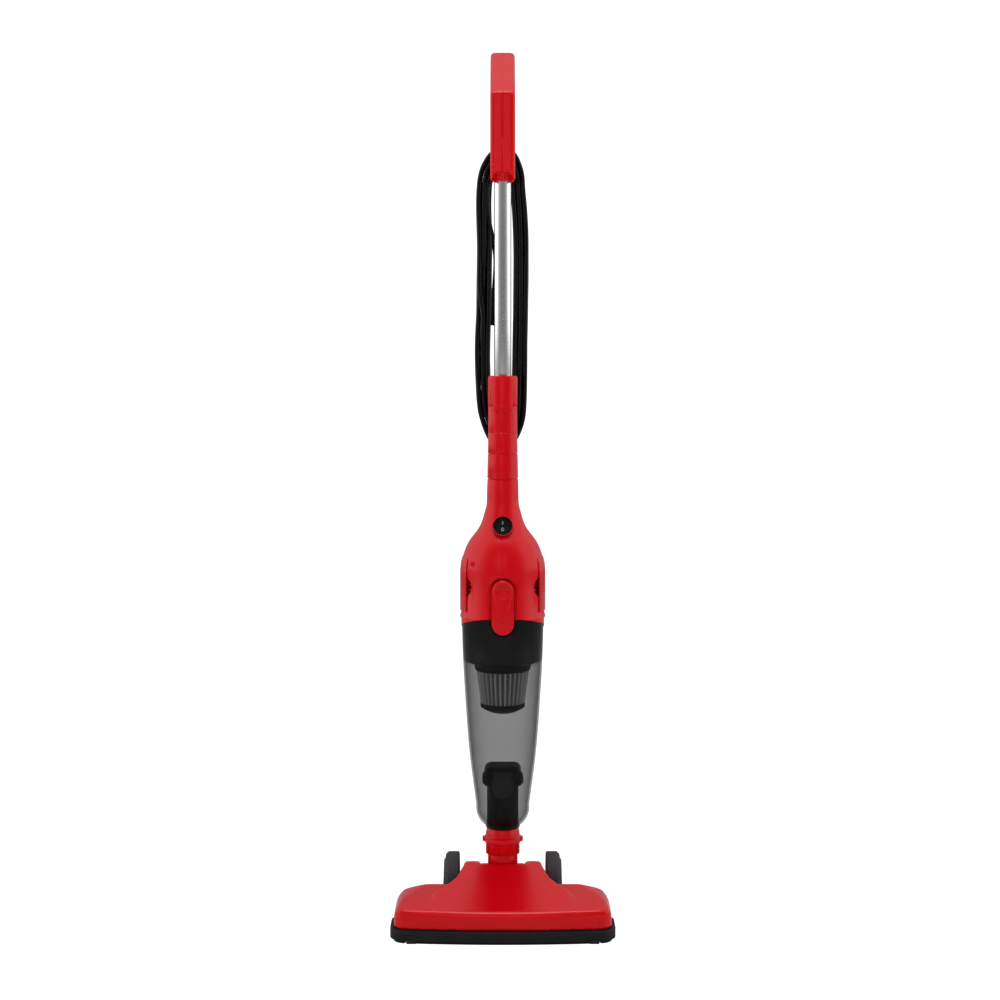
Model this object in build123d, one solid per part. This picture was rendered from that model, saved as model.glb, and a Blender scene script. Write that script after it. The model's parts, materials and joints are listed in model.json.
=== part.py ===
from build123d import *
from math import cos, pi, radians, sin, tan
import os

os.makedirs("parts", exist_ok=True)

# Upright stick vacuum cleaner, millimetres, +Z up, its front facing -Y.
# While it is built, y = 0 is the axis of the upright; every piece is then moved along Y
# so that the origin is under the middle of the whole machine, on the floor.

# ------------------------------------------------------------------ driving dimensions
nozzle_width = 277.0        # over the bumper
nozzle_reach = 125.0        # upright axis to the front of the bumper
handle_reach = 94.0         # upright axis to the back of the handle
overall_height = 1118.0     # floor to the top of the handle

floor_gap = 3.0             # base plate over the floor
seam_z = 20.0               # base plate to red cover
front_top_z = 43.0
shoulder_z = 57.0
hump_z = 78.0
cover_wall = 2.5

wheel_r = 40.0
wheel_back = 16.0           # wheel and tilt axis behind the upright axis
tail_half = 53.0            # half width of the cover between the wheels
wheel_width = 19.0
notch_half = 27.5           # half width of the slot that the neck tilts in

pipe_r = 19.0               # tilting pipe inside the swivel neck
pipe_top_z = 92.5
neck_r = 21.75
neck_bottom_z = 84.5
neck_top_z = 116.5
spigot_r = 18.0
spigot_top_z = 150.0

cup_wall = 2.2
cup_bottom_z = 120.0
seam_mid_z = 374.0          # cup to motor body seam at the axis
seam_rise = 0.29            # the seam climbs towards the front by this much per mm
seam_gap = 0.4
body_r = 53.0
shell_wall = 2.5
neck_body_r = 18.8
body_top_z = 655.0
switch_z = 505.0

tube_r = 11.0
tube_wall = 1.0
tube_bottom_z = 612.0
adapter_top_z = 694.0
handle_bottom_z = overall_height - 177
handle_half = 16.0          # half width of the handle

cord_d = 6.5
hank_top_z = handle_bottom_z + 45
hank_bottom_z = 604.0
hank_front_y = 21.0
hank_thick = 20.7           # three layers of strands
strand_band = 19.5          # three strands side by side

run_fit = 0.06              # radial play of a shaft in its bore
slide_fit = 0.3             # play between pieces that slide past each other
part_gap = 0.3              # gap between curved pieces that only lie close

front_y = -nozzle_reach
tilt_y, tilt_z = wheel_back, wheel_r
origin_shift = (nozzle_reach - handle_reach) / 2

nodes = {}


# ------------------------------------------------------------------ shape helpers
def block(x0, x1, y0, y1, z0, z1):
    middle = Pos((x0 + x1) / 2, (y0 + y1) / 2, (z0 + z1) / 2)
    return middle * Box(x1 - x0, y1 - y0, z1 - z0)


def rod_x(r, x0, x1, y, z):
    return Pos((x0 + x1) / 2, y, z) * Rot(0, 90, 0) * Cylinder(r, x1 - x0)


def rod_y(r, y0, y1, x, z):
    return Pos(x, (y0 + y1) / 2, z) * Rot(90, 0, 0) * Cylinder(r, y1 - y0)


def rod_z(r, z0, z1, x=0.0, y=0.0):
    return Pos(x, y, (z0 + z1) / 2) * Cylinder(r, z1 - z0)


def ring_z(r_out, r_in, z0, z1):
    return rod_z(r_out, z0, z1) - rod_z(r_in, z0 - 1, z1 + 1)


def lathe(points):
    """Turn a closed (radius, z) outline about the upright axis."""
    return revolve(Plane.XZ * make_face(Polyline(*points, close=True)), Axis.Z)


def lathe_edges(edges):
    return revolve(Plane.XZ * make_face(Curve() + edges), Axis.Z)


def side_plate(points, x0, x1):
    """Extrude a closed (y, z) outline from x0 to x1."""
    face = Plane.YZ * make_face(Polyline(*points, close=True))
    return Pos(x0, 0, 0) * extrude(face, amount=x1 - x0)


def both_sides(shape):
    return [shape, mirror(shape, about=Plane.YZ)]


def group(shapes):
    return Compound(children=[solid for shape in shapes for solid in shape.solids()])


# ------------------------------------------------------------------ floor head: casing
corner_r = 20.0
front_bulge = 8.0
shoulder_back = front_y + 90.0
ramp_back = front_y + 104.0
tail_r = 28.0


def head_plan(inset, back):
    """Outline of the floor head seen from above, with a bowed front edge."""
    half = nozzle_width / 2 - inset
    front = front_y + inset
    left, right = (-half, front + front_bulge), (half, front + front_bulge)
    edges = [
        ThreePointArc(left, (0, front), right),
        Line(right, (half, back)),
        Line((half, back), (-half, back)),
        Line((-half, back), left),
    ]
    plan = make_face(Curve() + edges)
    return fillet(plan.vertices(), corner_r - inset)


cover_inset = 4.5


def cover_solid(wall):
    """The cover's outer form, or its inner form when a wall is given."""
    inset = cover_inset + wall
    plan = head_plan(inset, shoulder_back - wall)
    front = front_y + inset
    shoulder = extrude(Pos(0, 0, seam_z) * plan, amount=60)
    side_view = [
        (front - 5, seam_z - 1), (front - 5, front_top_z - 8), (front + 3, front_top_z - 2 - wall),
        (front + 8, front_top_z - wall), (shoulder_back - 8, shoulder_z - wall),
        (shoulder_back - wall, shoulder_z - 7), (shoulder_back - wall, seam_z - 1),
    ]
    half = nozzle_width / 2
    shoulder = shoulder & side_plate(side_view, -half, half)
    end_view = [(half - 4, seam_z - 10), (half - 4, 33), (half - 7, 41.5), (half - 14, 48.5), (92, shoulder_z + 1)]
    end_view = end_view + [(-x, z) for x, z in reversed(end_view)]
    end_face = offset(make_face(Polyline(*end_view, close=True)), amount=-max(wall, 0.01))
    shoulder = shoulder & extrude(Plane.XZ * end_face, amount=200, both=True)
    ramp_plan = Polyline(
        (-95 + wall, front + 5), (95 - wall, front + 5), (86 - wall, front_y + 50),
        (62 - wall, front_y + 78), (tail_half - wall, ramp_back),
        (tail_half - wall, tilt_y + tail_r), (-tail_half + wall, tilt_y + tail_r),
        (-tail_half + wall, ramp_back), (-62 + wall, front_y + 78), (-86 + wall, front_y + 50),
        close=True)
    ramp_face = make_face(ramp_plan)
    ramp_top = offset(ramp_face, amount=-4.0, kind=Kind.INTERSECTION)
    ramp = loft([Pos(0, 0, seam_z) * ramp_face, Pos(0, 0, seam_z + 62) * ramp_top], ruled=True)
    ramp_view = Curve() + [
        Polyline((front + 5, seam_z - 1), (front + 5, front_top_z - wall - 0.6),
                 (front + 14, front_top_z + 2 - wall), (ramp_back, hump_z - wall)),
        Line((ramp_back, hump_z - wall), (tilt_y, tilt_z + tail_r - wall)),
        ThreePointArc((tilt_y, tilt_z + tail_r - wall),
                      (tilt_y + (tail_r - wall) * cos(pi / 4),
                       tilt_z + (tail_r - wall) * sin(pi / 4)),
                      (tilt_y + tail_r - wall, tilt_z)),
        Polyline((tilt_y + tail_r - wall, tilt_z), (tilt_y + tail_r - wall, seam_z - 1),
                 (front + 5, seam_z - 1)),
    ]
    slab = extrude(Plane.YZ * make_face(ramp_view), amount=100, both=True)
    return shoulder + (ramp & slab)


cover_outer = cover_solid(0)
cover = cover_outer - cover_solid(cover_wall)
cover -= block(-140, 140, -200, 100, seam_z - 5, seam_z)
notch = block(-notch_half, notch_half, ramp_back - 2, tilt_y + 60, seam_z - 10, 120)
liner = block(-notch_half - cover_wall, notch_half + cover_wall, ramp_back - 2 - cover_wall,
              tilt_y + 60, seam_z, 120)
cover = cover + (cover_outer & liner) - notch
trunnion_r = 9.0
axle_r = 4.0
cover -= rod_x(trunnion_r + 0.5, -tail_half + 8, tail_half - 8, tilt_y, tilt_z)
cover -= rod_x(axle_r + 0.3, -100, 100, tilt_y, tilt_z)
duct_half = 22.0
duct_top_z = 34.0
cover -= block(-duct_half - 0.5, duct_half + 0.5, ramp_back - 10, ramp_back, seam_z - 5,
               duct_top_z + 0.5)
nodes["nozzle_cover"] = cover

base_top = seam_z
plate_t = 3.0
base = extrude(Pos(0, 0, floor_gap) * head_plan(cover_inset, shoulder_back), amount=base_top - floor_gap)
base += block(-tail_half, tail_half, shoulder_back - 5, tilt_y + tail_r, floor_gap, base_top)
pan = extrude(Pos(0, 0, floor_gap + plate_t) * head_plan(cover_inset + cover_wall,
                                                        shoulder_back - cover_wall), amount=30)
pan += block(-tail_half + cover_wall, tail_half - cover_wall, shoulder_back - 10,
             tilt_y + tail_r - cover_wall, floor_gap + plate_t, base_top + 10)
base -= pan
slot_half = 118.0
slot_y0, slot_y1 = front_y + 30, front_y + 54
base -= block(-slot_half, slot_half, slot_y0, slot_y1, 0, 15)
roller_r = 8.0
roller_len = 13.0
roller_x = 112.0
roller_y = front_y + 19
pin_r = 1.5
for side in (-1, 1):
    x = side * roller_x
    base -= block(x - 8, x + 8, roller_y - 9.5, roller_y + 9.5, 0, 15)
    for ear in (-1, 1):
        inner = x + ear * (roller_len / 2 + part_gap)
        outer = x + ear * 10.5
        base += block(min(inner, outer), max(inner, outer), roller_y - 6, roller_y + 6,
                      floor_gap, 13)
base -= rod_x(pin_r, roller_x - 9, roller_x + 9, roller_y, roller_r)
base -= rod_x(pin_r, -roller_x - 9, -roller_x + 9, roller_y, roller_r)
screw_places = [(-100, front_y + 66), (100, front_y + 66), (-44, front_y + 75),
                (44, front_y + 75), (-40, tilt_y + 20), (40, tilt_y + 20)]
for x, y in screw_places:
    base += rod_z(4.0, floor_gap + 1, base_top, x, y)
for x, y in screw_places:
    base -= rod_z(3.0, 0, floor_gap + 3, x, y)
    base -= rod_z(1.6, 0, base_top + 1, x, y)
nodes["base_plate"] = base
nodes["base_screws"] = group([
    rod_z(2.8, floor_gap + 1, floor_gap + 3, x, y) + rod_z(1.55, floor_gap + 3, base_top - 2, x, y)
    for x, y in screw_places])

bumper_z0, bumper_z1 = 7.0, base_top - 1.0
bumper = extrude(Pos(0, 0, bumper_z0) * head_plan(0, shoulder_back - 14), amount=bumper_z1 - bumper_z0)
bumper -= extrude(head_plan(cover_inset, shoulder_back + 30), amount=60)
nodes["bumper_strip"] = bumper

strip_half = 116.0
strips = []
for y0 in (slot_y0 + 0.5, slot_y1 - 3.5):
    carrier = block(-strip_half, strip_half, y0, y0 + 3, 6.5, 12)
    bristles = block(-strip_half + 2, strip_half - 2, y0 + 0.8, y0 + 2.2, 0.8, 6.5)
    strips.append(carrier + bristles)
nodes["brush_strips"] = group(strips)

duct_wall = 2.0
duct_y0, duct_y1 = slot_y1 + 6, tilt_y
barrel_r = 25.0
duct = block(-duct_half, duct_half, duct_y0, duct_y1, floor_gap + plate_t, duct_top_z)
duct -= block(-duct_half + duct_wall, duct_half - duct_wall, duct_y0 - 1, duct_y1 + 1,
              floor_gap + plate_t + duct_wall, duct_top_z - duct_wall)
duct -= rod_x(barrel_r + part_gap, -60, 60, tilt_y, tilt_z)
nodes["air_duct"] = duct.solids().sort_by(Axis.Y)[0]

# ------------------------------------------------------------------ floor head: wheels
block_x0, block_x1 = notch_half + cover_wall + 0.3, notch_half + cover_wall + 13
pivot = block(block_x0, block_x1, tilt_y - 14, tilt_y + 14, floor_gap + plate_t, tilt_z + 14)
pivot -= rod_x(trunnion_r + run_fit, 0, block_x1 - 4, tilt_y, tilt_z)
pivot -= rod_x(axle_r, block_x1 - 5, 100, tilt_y, tilt_z)
nodes["pivot_blocks"] = group(both_sides(pivot))

wheel_x0 = tail_half + 2.5
wheel_x1 = wheel_x0 + wheel_width
axle = rod_x(axle_r, block_x1 - 3, wheel_x1 + 1.5, tilt_y, tilt_z)
axle += rod_x(axle_r + 2.5, wheel_x1 + 0.5, wheel_x1 + 2.0, tilt_y, tilt_z)
axle += rod_x(axle_r + 2.0, tail_half + 0.3, wheel_x0 - 0.4, tilt_y, tilt_z)
nodes["wheel_axles"] = group(both_sides(axle))

tyre_t = 4.0


def turned_x(points, y, z):
    """Turn a closed (radius, x) outline about a line along X."""
    face = Plane.XY * make_face(Polyline(*[(x, r) for r, x in points], close=True))
    return Pos(0, y, z) * revolve(face, Axis.X)


hub_r = wheel_r - tyre_t
wheel = turned_x([
    (axle_r + run_fit, wheel_x0 + 1), (10, wheel_x0 + 1), (10, wheel_x0 + 8),
    (hub_r - 5, wheel_x0 + 8), (hub_r - 4, wheel_x0 + 1.5), (hub_r, wheel_x0 + 1.5),
    (hub_r, wheel_x1 - 1.5), (hub_r - 4, wheel_x1 - 0.5), (hub_r - 6, wheel_x1 - 3.5),
    (12, wheel_x1 - 2.5), (10, wheel_x1), (axle_r + run_fit, wheel_x1)], tilt_y, tilt_z)
tyre = turned_x([
    (hub_r, wheel_x0 + 1.5), (wheel_r - 1.5, wheel_x0), (wheel_r, wheel_x0 + 1.5),
    (wheel_r, wheel_x1 - 5), (wheel_r - 3.4, wheel_x1 - 1.2), (hub_r, wheel_x1 - 1.5)],
    tilt_y, tilt_z)
nodes["wheel_right"], nodes["wheel_left"] = both_sides(wheel)
nodes["tyre_right"], nodes["tyre_left"] = both_sides(tyre)

roller = rod_x(roller_r, roller_x - roller_len / 2, roller_x + roller_len / 2, roller_y, roller_r)
roller = chamfer(roller.edges().filter_by(GeomType.CIRCLE), 1.0)
roller -= rod_x(pin_r + run_fit, roller_x - 20, roller_x + 20, roller_y, roller_r)
nodes["front_roller_right"], nodes["front_roller_left"] = both_sides(roller)
roller_pin = rod_x(pin_r, roller_x - 9, roller_x + 9, roller_y, roller_r)
nodes["roller_pins"] = group(both_sides(roller_pin))

# ------------------------------------------------------------------ tilting barrel
barrel_half = notch_half - 0.5
barrel_wall = 2.5
pipe_wall = 2.3
barrel = rod_x(barrel_r, -barrel_half, barrel_half, tilt_y, tilt_z)
barrel += rod_z(pipe_r, tilt_z - 2, pipe_top_z)
hollow = rod_x(barrel_r - barrel_wall, -barrel_half + barrel_wall, barrel_half - barrel_wall,
               tilt_y, tilt_z)
hollow += rod_z(pipe_r - pipe_wall, tilt_z + 1, pipe_top_z + 1)
barrel -= hollow
barrel -= block(-18, 18, tilt_y - 40, tilt_y - 10, tilt_z - 18, tilt_z - 4)
barrel += rod_x(trunnion_r, barrel_half - 1, block_x1 - 5, tilt_y, tilt_z)
barrel += rod_x(trunnion_r, -block_x1 + 5, -barrel_half + 1, tilt_y, tilt_z)
groove_z0, groove_z1 = 87.7, 90.3
barrel -= ring_z(pipe_r + 1, pipe_r - 1, groove_z0 + 0.3, groove_z1 - 0.3)
nodes["tilt_barrel"] = barrel
clip = ring_z(pipe_r + 1.3, pipe_r - 1, groove_z0 + 0.3, groove_z1 - 0.3)
clip -= block(-3, 3, 10, 30, groove_z0 - 1, groove_z1 + 1)
nodes["swivel_clip"] = clip

# ------------------------------------------------------------------ swivel neck
ring_z0, ring_z1 = 98.0, 106.0
neck = lathe([
    (pipe_r + 0.2, neck_bottom_z), (neck_r, neck_bottom_z), (neck_r, ring_z0),
    (neck_r + 2, ring_z0 + 1), (neck_r + 2, ring_z1 - 1), (neck_r, ring_z1), (neck_r, 110),
    (spigot_r + 1.9, neck_top_z), (spigot_r, neck_top_z), (spigot_r, spigot_top_z),
    (spigot_r - 2, spigot_top_z), (spigot_r - 2, pipe_top_z + 0.5),
    (pipe_r + 0.2, pipe_top_z + 0.5)])
neck -= ring_z(pipe_r + 1.6, pipe_r, groove_z0, groove_z1)
lug = block(neck_r - 0.8, neck_r + 4, -4, 4, ring_z0 + 1.5, ring_z1 - 1.5)
neck += both_sides(lug)
arch = block(-8.6, 8.6, -30, -pipe_r - 0.1, neck_bottom_z - 1, neck_bottom_z + 1.5)
neck -= arch
seal_z0 = spigot_top_z - 10
neck -= ring_z(spigot_r + 1, spigot_r - 0.9, seal_z0, seal_z0 + 2.4)
nodes["neck_sleeve"] = neck
duct_bore_r = spigot_r + slide_fit
nodes["neck_seal"] = ring_z(duct_bore_r - 0.05, spigot_r - 0.9, seal_z0, seal_z0 + 2.4)

# ------------------------------------------------------------------ dust cup
cup_points = [(body_r - 19.2, 146), (body_r - 10.8, 210), (body_r - 5.6, 275), (body_r - 2.1, 335),
              (body_r - 0.4, 400)]


def cup_r(z):
    """Outer radius of the cup at a height, straight between its stations."""
    for (r0, z0), (r1, z1) in zip(cup_points, cup_points[1:]):
        if z0 <= z <= z1:
            return r0 + (r1 - r0) * (z - z0) / (z1 - z0)
    return cup_points[-1][0]


def cup_form(wall):
    """The cup as a closed turned solid, its skin moved inwards by a wall."""
    side = [(r - wall, z) for r, z in cup_points]
    low_r, low_z = 22.0 - wall, cup_bottom_z + wall
    edges = [
        Line((0, low_z), (low_r, low_z)),
        ThreePointArc((low_r, low_z), (30.6 - wall, 129.5 + wall * 0.5), side[0]),
        Spline(*side, tangents=[(0.13, 1), (0.02, 1)]),
        Line(side[-1], (0, side[-1][1])),
        Line((0, side[-1][1]), (0, low_z)),
    ]
    return lathe_edges(edges)


def above_seam(offset):
    """Everything above the sloping seam between the cup and the motor body."""
    low = seam_mid_z + offset
    reach = 90.0
    outline = [(-reach, low + seam_rise * reach), (reach, low - seam_rise * reach),
               (reach, 1300), (-reach, 1300)]
    return side_plate(outline, -reach, reach)


lever_half = 14.2
lever_gap = 3.2
lever_top_z = 439.0
lever_bottom_z = 370.0
duct_r = 20.0


def stadium(half, z0, z1, y0, y1):
    """An upright slot shape with round ends, running along Y."""
    middle = block(-half, half, y0, y1, z0 + half, z1 - half)
    return middle + rod_y(half, y0, y1, 0, z0 + half) + rod_y(half, y0, y1, 0, z1 - half)


cup = cup_form(0) - cup_form(cup_wall)
cup -= rod_z(duct_r + 0.15, 100, cup_bottom_z + 10)
cup -= above_seam(0)
cup -= stadium(lever_half + 1.8, lever_bottom_z - 2.4, 460, -80, 0)
nodes["dust_cup"] = cup

head_half = 23.4
head_z0, head_z1 = 173.5, 197.0
head_y0 = -20.5
mouth_z = 172.0
mouth_r = 13.0
inlet = rod_z(duct_r, neck_top_z + part_gap, head_z1 - 10)
inlet += ring_z(duct_r + 1.6, duct_r - 0.5, cup_bottom_z - 2.6, cup_bottom_z)
head = block(-head_half, head_half, head_y0, 18, head_z0, head_z1)
head = fillet(head.edges().filter_by(Axis.Y).group_by(Axis.Z)[-1], 9)
head = fillet(head.edges().filter_by(Axis.Z), 5)
inlet += head
ears = block(-head_half - 2.6, head_half + 2.6, -11, 11, head_z0 + 0.5, head_z0 + 11)
inlet += fillet(ears.edges().filter_by(Axis.Y), 2.2)
inlet += rod_y(mouth_r + 3.6, head_y0, 0, 0, mouth_z)
inlet -= rod_z(duct_bore_r, 100, mouth_z + 14)
inlet -= rod_y(mouth_r, head_y0 - 5, 0, 0, mouth_z)
flap_pin_z = mouth_z + 17
flap_pin_y = head_y0 - 2.2
flap_t = 1.6
pin_small = 1.0
for side in (-1, 1):
    x0, x1 = sorted((side * 11.5, side * 15.5))
    inlet += block(x0, x1, head_y0 - 4, head_y0 + 3, flap_pin_z - 2.5, flap_pin_z + 2.5)
inlet -= rod_x(pin_small, -16, 16, flap_pin_y, flap_pin_z)
nodes["inlet_duct"] = inlet
nodes["flap_pin"] = rod_x(pin_small, -15.5, 15.5, flap_pin_y, flap_pin_z)
flap = rod_y(mouth_r + 1.6, head_y0 - part_gap - flap_t, head_y0 - part_gap, 0, mouth_z)
flap += block(-10.5, 10.5, head_y0 - part_gap - flap_t, head_y0 - part_gap, mouth_z, flap_pin_z)
flap += rod_x(1.9, -11, 11, flap_pin_y, flap_pin_z)
flap -= rod_x(pin_small + run_fit, -16, 16, flap_pin_y, flap_pin_z)
nodes["inlet_flap"] = flap

# ------------------------------------------------------------------ filter
filter_top_z = 328.0
collar_r = 26.0
pleat_z0, pleat_z1 = 276.0, 318.0
pleats = 30


def star(r_out, r_in, z):
    points = []
    for i in range(2 * pleats):
        r = r_out if i % 2 == 0 else r_in
        angle = pi * i / pleats
        points.append((r * cos(angle), r * sin(angle)))
    return Pos(0, 0, z) * make_face(Polyline(*points, close=True))


pleat_body = loft([star(28, 24.5, pleat_z0), star(34, 29.5, pleat_z1)], ruled=True)
pleat_body -= rod_z(21.5, pleat_z0 - 1, pleat_z1 + 1)
nodes["filter_pleats"] = pleat_body
frame_ring = lathe([
    (collar_r + slide_fit, pleat_z1), (34.5, pleat_z1), (36, pleat_z1 + 2), (36, filter_top_z),
    (collar_r + slide_fit, filter_top_z)])
nodes["filter_frame"] = frame_ring
cap_r = 28.4
cap_rim = 5.0
cap_depth = 9.0
dome_r = (cap_r ** 2 + cap_depth ** 2) / (2 * cap_depth)
dome = Pos(0, 0, pleat_z0 - cap_rim - cap_depth + dome_r) * Sphere(dome_r)
dome = dome & rod_z(cap_r, pleat_z0 - cap_rim - cap_depth - 1, pleat_z0 - cap_rim)
nodes["filter_cap"] = dome + rod_z(cap_r, pleat_z0 - cap_rim, pleat_z0)

# ------------------------------------------------------------------ bulkhead and motor
skirt_z0 = 329.0
skirt_z1 = 392.0
bulkhead_z = 338.0
bulkhead_t = 3.0
skirt_t = 2.0


def skirt_r(z):
    return min(cup_r(z) - cup_wall - 0.7, body_r - shell_wall - 0.2)


skirt_stations = [skirt_z0 + 3, 350, 370, skirt_z1]
bulkhead = lathe([(skirt_r(skirt_z0) - 3, skirt_z0), (skirt_r(skirt_z0), skirt_z0 + 2)]
                 + [(skirt_r(z), z) for z in skirt_stations]
                 + [(skirt_r(z) - skirt_t, z) for z in reversed(skirt_stations)]
                 + [(skirt_r(skirt_z0) - 3, skirt_z0 + 2)])
bulkhead += ring_z(skirt_r(bulkhead_z) - 1, 22, bulkhead_z, bulkhead_z + bulkhead_t)
bulkhead += ring_z(collar_r, 22, pleat_z1 + 1, bulkhead_z + 1)
bulkhead -= ring_z(60, skirt_r(345) - 0.9, 344, 347)
nodes["motor_bulkhead"] = bulkhead
nodes["cup_seal"] = ring_z(cup_r(345) - cup_wall - 0.12, skirt_r(345) - 0.9, 344, 347)

seal_t = 5.0
shroud_z0 = bulkhead_z + bulkhead_t + seal_t
shroud_z1 = shroud_z0 + 30
nodes["motor_seal"] = ring_z(40, 24, bulkhead_z + bulkhead_t, shroud_z0)
shroud_r = 43.5
shroud = rod_z(shroud_r, shroud_z0, shroud_z1) - rod_z(shroud_r - 1.5, shroud_z0 + 1.5, shroud_z1 - 3)
shroud -= rod_z(17, shroud_z0 - 1, shroud_z0 + 3)
shaft_r = 4.0
bearing_r = 8.0
shroud -= rod_z(bearing_r, shroud_z1 - 4, shroud_z1 + 1)
shroud += ring_z(bearing_r, shaft_r + run_fit, shroud_z1 - 3, shroud_z1)
for i in range(6):
    angle = 60 * i
    shroud -= Rot(0, 0, angle) * rod_z(3.5, shroud_z1 - 4, shroud_z1 + 1, 36)
nodes["fan_shroud"] = shroud

stator_z0, stator_z1 = shroud_z1, shroud_z1 + 54
stator = ring_z(31, 18.4, stator_z0 + 6, stator_z0 + 40)
for i in range(4):
    stator += Rot(0, 0, 45 + 90 * i) * block(20, 28, -4, 4, stator_z0, stator_z0 + 7)
    stator += Rot(0, 0, 45 + 90 * i) * block(20, 28, -4, 4, stator_z0 + 39, stator_z1)
stator += ring_z(29, shaft_r + run_fit, stator_z1 - 4, stator_z1)
nodes["motor_stator"] = stator
brushes = [block(12.1, 26, -4, 4, stator_z1 - 14, stator_z1 - 6)]
nodes["carbon_brushes"] = group(both_sides(brushes[0]))

fan_z0 = shroud_z0 + 5
fan_z1 = fan_z0 + 15
fan = ring_z(38, 16, fan_z0, fan_z0 + 1.2) + ring_z(38, shaft_r, fan_z1 - 1.2, fan_z1)
fan += ring_z(9, shaft_r, fan_z0 + 2, fan_z1)
for i in range(9):
    blade = Rot(0, 0, 40 * i) * (Pos(0, 0, 0) * block(8.5, 37, -0.8, 0.8, fan_z0 + 0.6, fan_z1 - 0.6))
    fan += blade - rod_z(16.2, fan_z0 - 1, fan_z0 + 2)
fan -= rod_z(shaft_r, fan_z0 - 5, fan_z1 + 5)
nodes["fan_impeller"] = fan
nodes["motor_shaft"] = rod_z(shaft_r, fan_z0 - 2, stator_z1 + 2)
armature = ring_z(17.6, shaft_r, stator_z0 + 6, stator_z0 + 38)
armature += ring_z(12, shaft_r, stator_z1 - 15, stator_z1 - 5)
nodes["armature"] = group([armature])
mount_z0, mount_z1 = stator_z1, stator_z1 + 8
nodes["rear_mount"] = ring_z(24, 10, mount_z0, mount_z1)

# ------------------------------------------------------------------ motor body shells
shoulder_profile = [(body_r, 445), (50.6, 464.7), (42.2, 484), (28.8, 503), (22.6, 522),
                    (20.2, 542)]


def body_form(wall):
    """The motor body as a closed turned solid, its skin moved inwards by a wall."""
    side = [(r - wall, z) for r, z in shoulder_profile]
    rim = 0.0 if wall else 1.6
    edges = [
        Line((0, 340), (body_r - wall, 340)),
        Line((body_r - wall, 340), (body_r - wall, 384)),
        Line((body_r - wall, 384), (body_r - wall + rim, 387.5)),
        Line((body_r - wall + rim, 387.5), (body_r - wall, 393)),
        Line((body_r - wall, 393), side[0]),
        Spline(*side, tangents=[(0, 1), (0, 1)]),
        Line(side[-1], (neck_body_r - wall, 610)),
        Line((neck_body_r - wall, 610), (neck_body_r - wall, body_top_z)),
        Line((neck_body_r - wall, body_top_z), (0, body_top_z)),
        Line((0, body_top_z), (0, 340)),
    ]
    if not rim:
        edges[1:5] = [Line((body_r - wall, 340), side[0])]
    return lathe_edges(edges)


body_outer = body_form(0)
shell = body_outer - body_form(shell_wall)
shell = shell & above_seam(seam_gap)
window_z0, window_z1 = 407.0, 447.5
window_angle = 40.0


def side_wedge(half_angle, reach, z0, z1):
    """A sector about the right-hand side of the upright axis."""
    rise = reach * tan(radians(half_angle))
    face = make_face(Polyline((0, 0), (reach, -rise), (reach, rise), close=True))
    return extrude(Pos(0, 0, z0) * face, amount=z1 - z0)


rib_z = mount_z1
rib = body_outer & ring_z(body_r - 1, 12, rib_z, rib_z + 2.5)
rib -= block(-24, 24, -80, -31, rib_z - 1, rib_z + 4)
grille_room = ring_z(body_r - shell_wall + 0.1, body_r - shell_wall - 2.8, rib_z - 1, rib_z + 4)
rib -= both_sides(grille_room & side_wedge(window_angle + 6, 90, rib_z - 1, rib_z + 4))
shell += rib
lever_hole_half = lever_half + lever_gap
shell -= stadium(lever_hole_half, 350, lever_top_z + 4, -80, -30)
window_oval = Pos(0, (window_z0 + window_z1) / 2) * Ellipse(body_r * sin(radians(window_angle + 2)),
                                                           (window_z1 - window_z0) / 2)
window = extrude(Plane.YZ * window_oval, amount=body_r + 10) & block(30, 90, -60, 60, 380, 480)
shell -= both_sides(window)
switch_lean = 25.0
switch_ring_r = 13.7
switch_plane = Plane(origin=(0, -34, switch_z), x_dir=(1, 0, 0),
                     z_dir=(0, -cos(radians(switch_lean)), sin(radians(switch_lean))))


def on_switch(shape):
    return switch_plane * shape


shell -= on_switch(Pos(0, 0, -6) * Cylinder(switch_ring_r, 40))
screw_spots = [(641, 0), (590, 0), (558, 0), (456, -35.5)]
boss_r = 4.0
screw_r = 1.5
for z, y in screw_spots:
    shell += (body_outer & above_seam(seam_gap) & rod_x(boss_r, -60, 60, y, z))
for z, y in screw_spots:
    edge = (19.5 if z > 500 else 35.0) - 4
    shell -= rod_x(3.2, -80, -edge, y, z)
    shell -= rod_x(screw_r, -80, edge - 2, y, z)
spigot_wand_r = 15.5
shell -= rod_z(neck_body_r - shell_wall, tube_bottom_z - 4, body_top_z + 1)
gland_z = 574.0
gland_lean = 30.0
gland_plane = Plane(origin=(0, 17, gland_z), x_dir=(1, 0, 0),
                    z_dir=(0, cos(radians(gland_lean)), sin(radians(gland_lean))))
shell -= gland_plane * Cylinder(5.45, 20)
hook_half = 5.0
low_hook_z = 628.0
shell -= block(-hook_half, hook_half, 14, 30, low_hook_z - 4, low_hook_z + 4)
half_space = block(0, 200, -200, 200, 300, 800)
nodes["body_right"] = shell & half_space
nodes["body_left"] = shell - half_space

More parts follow.
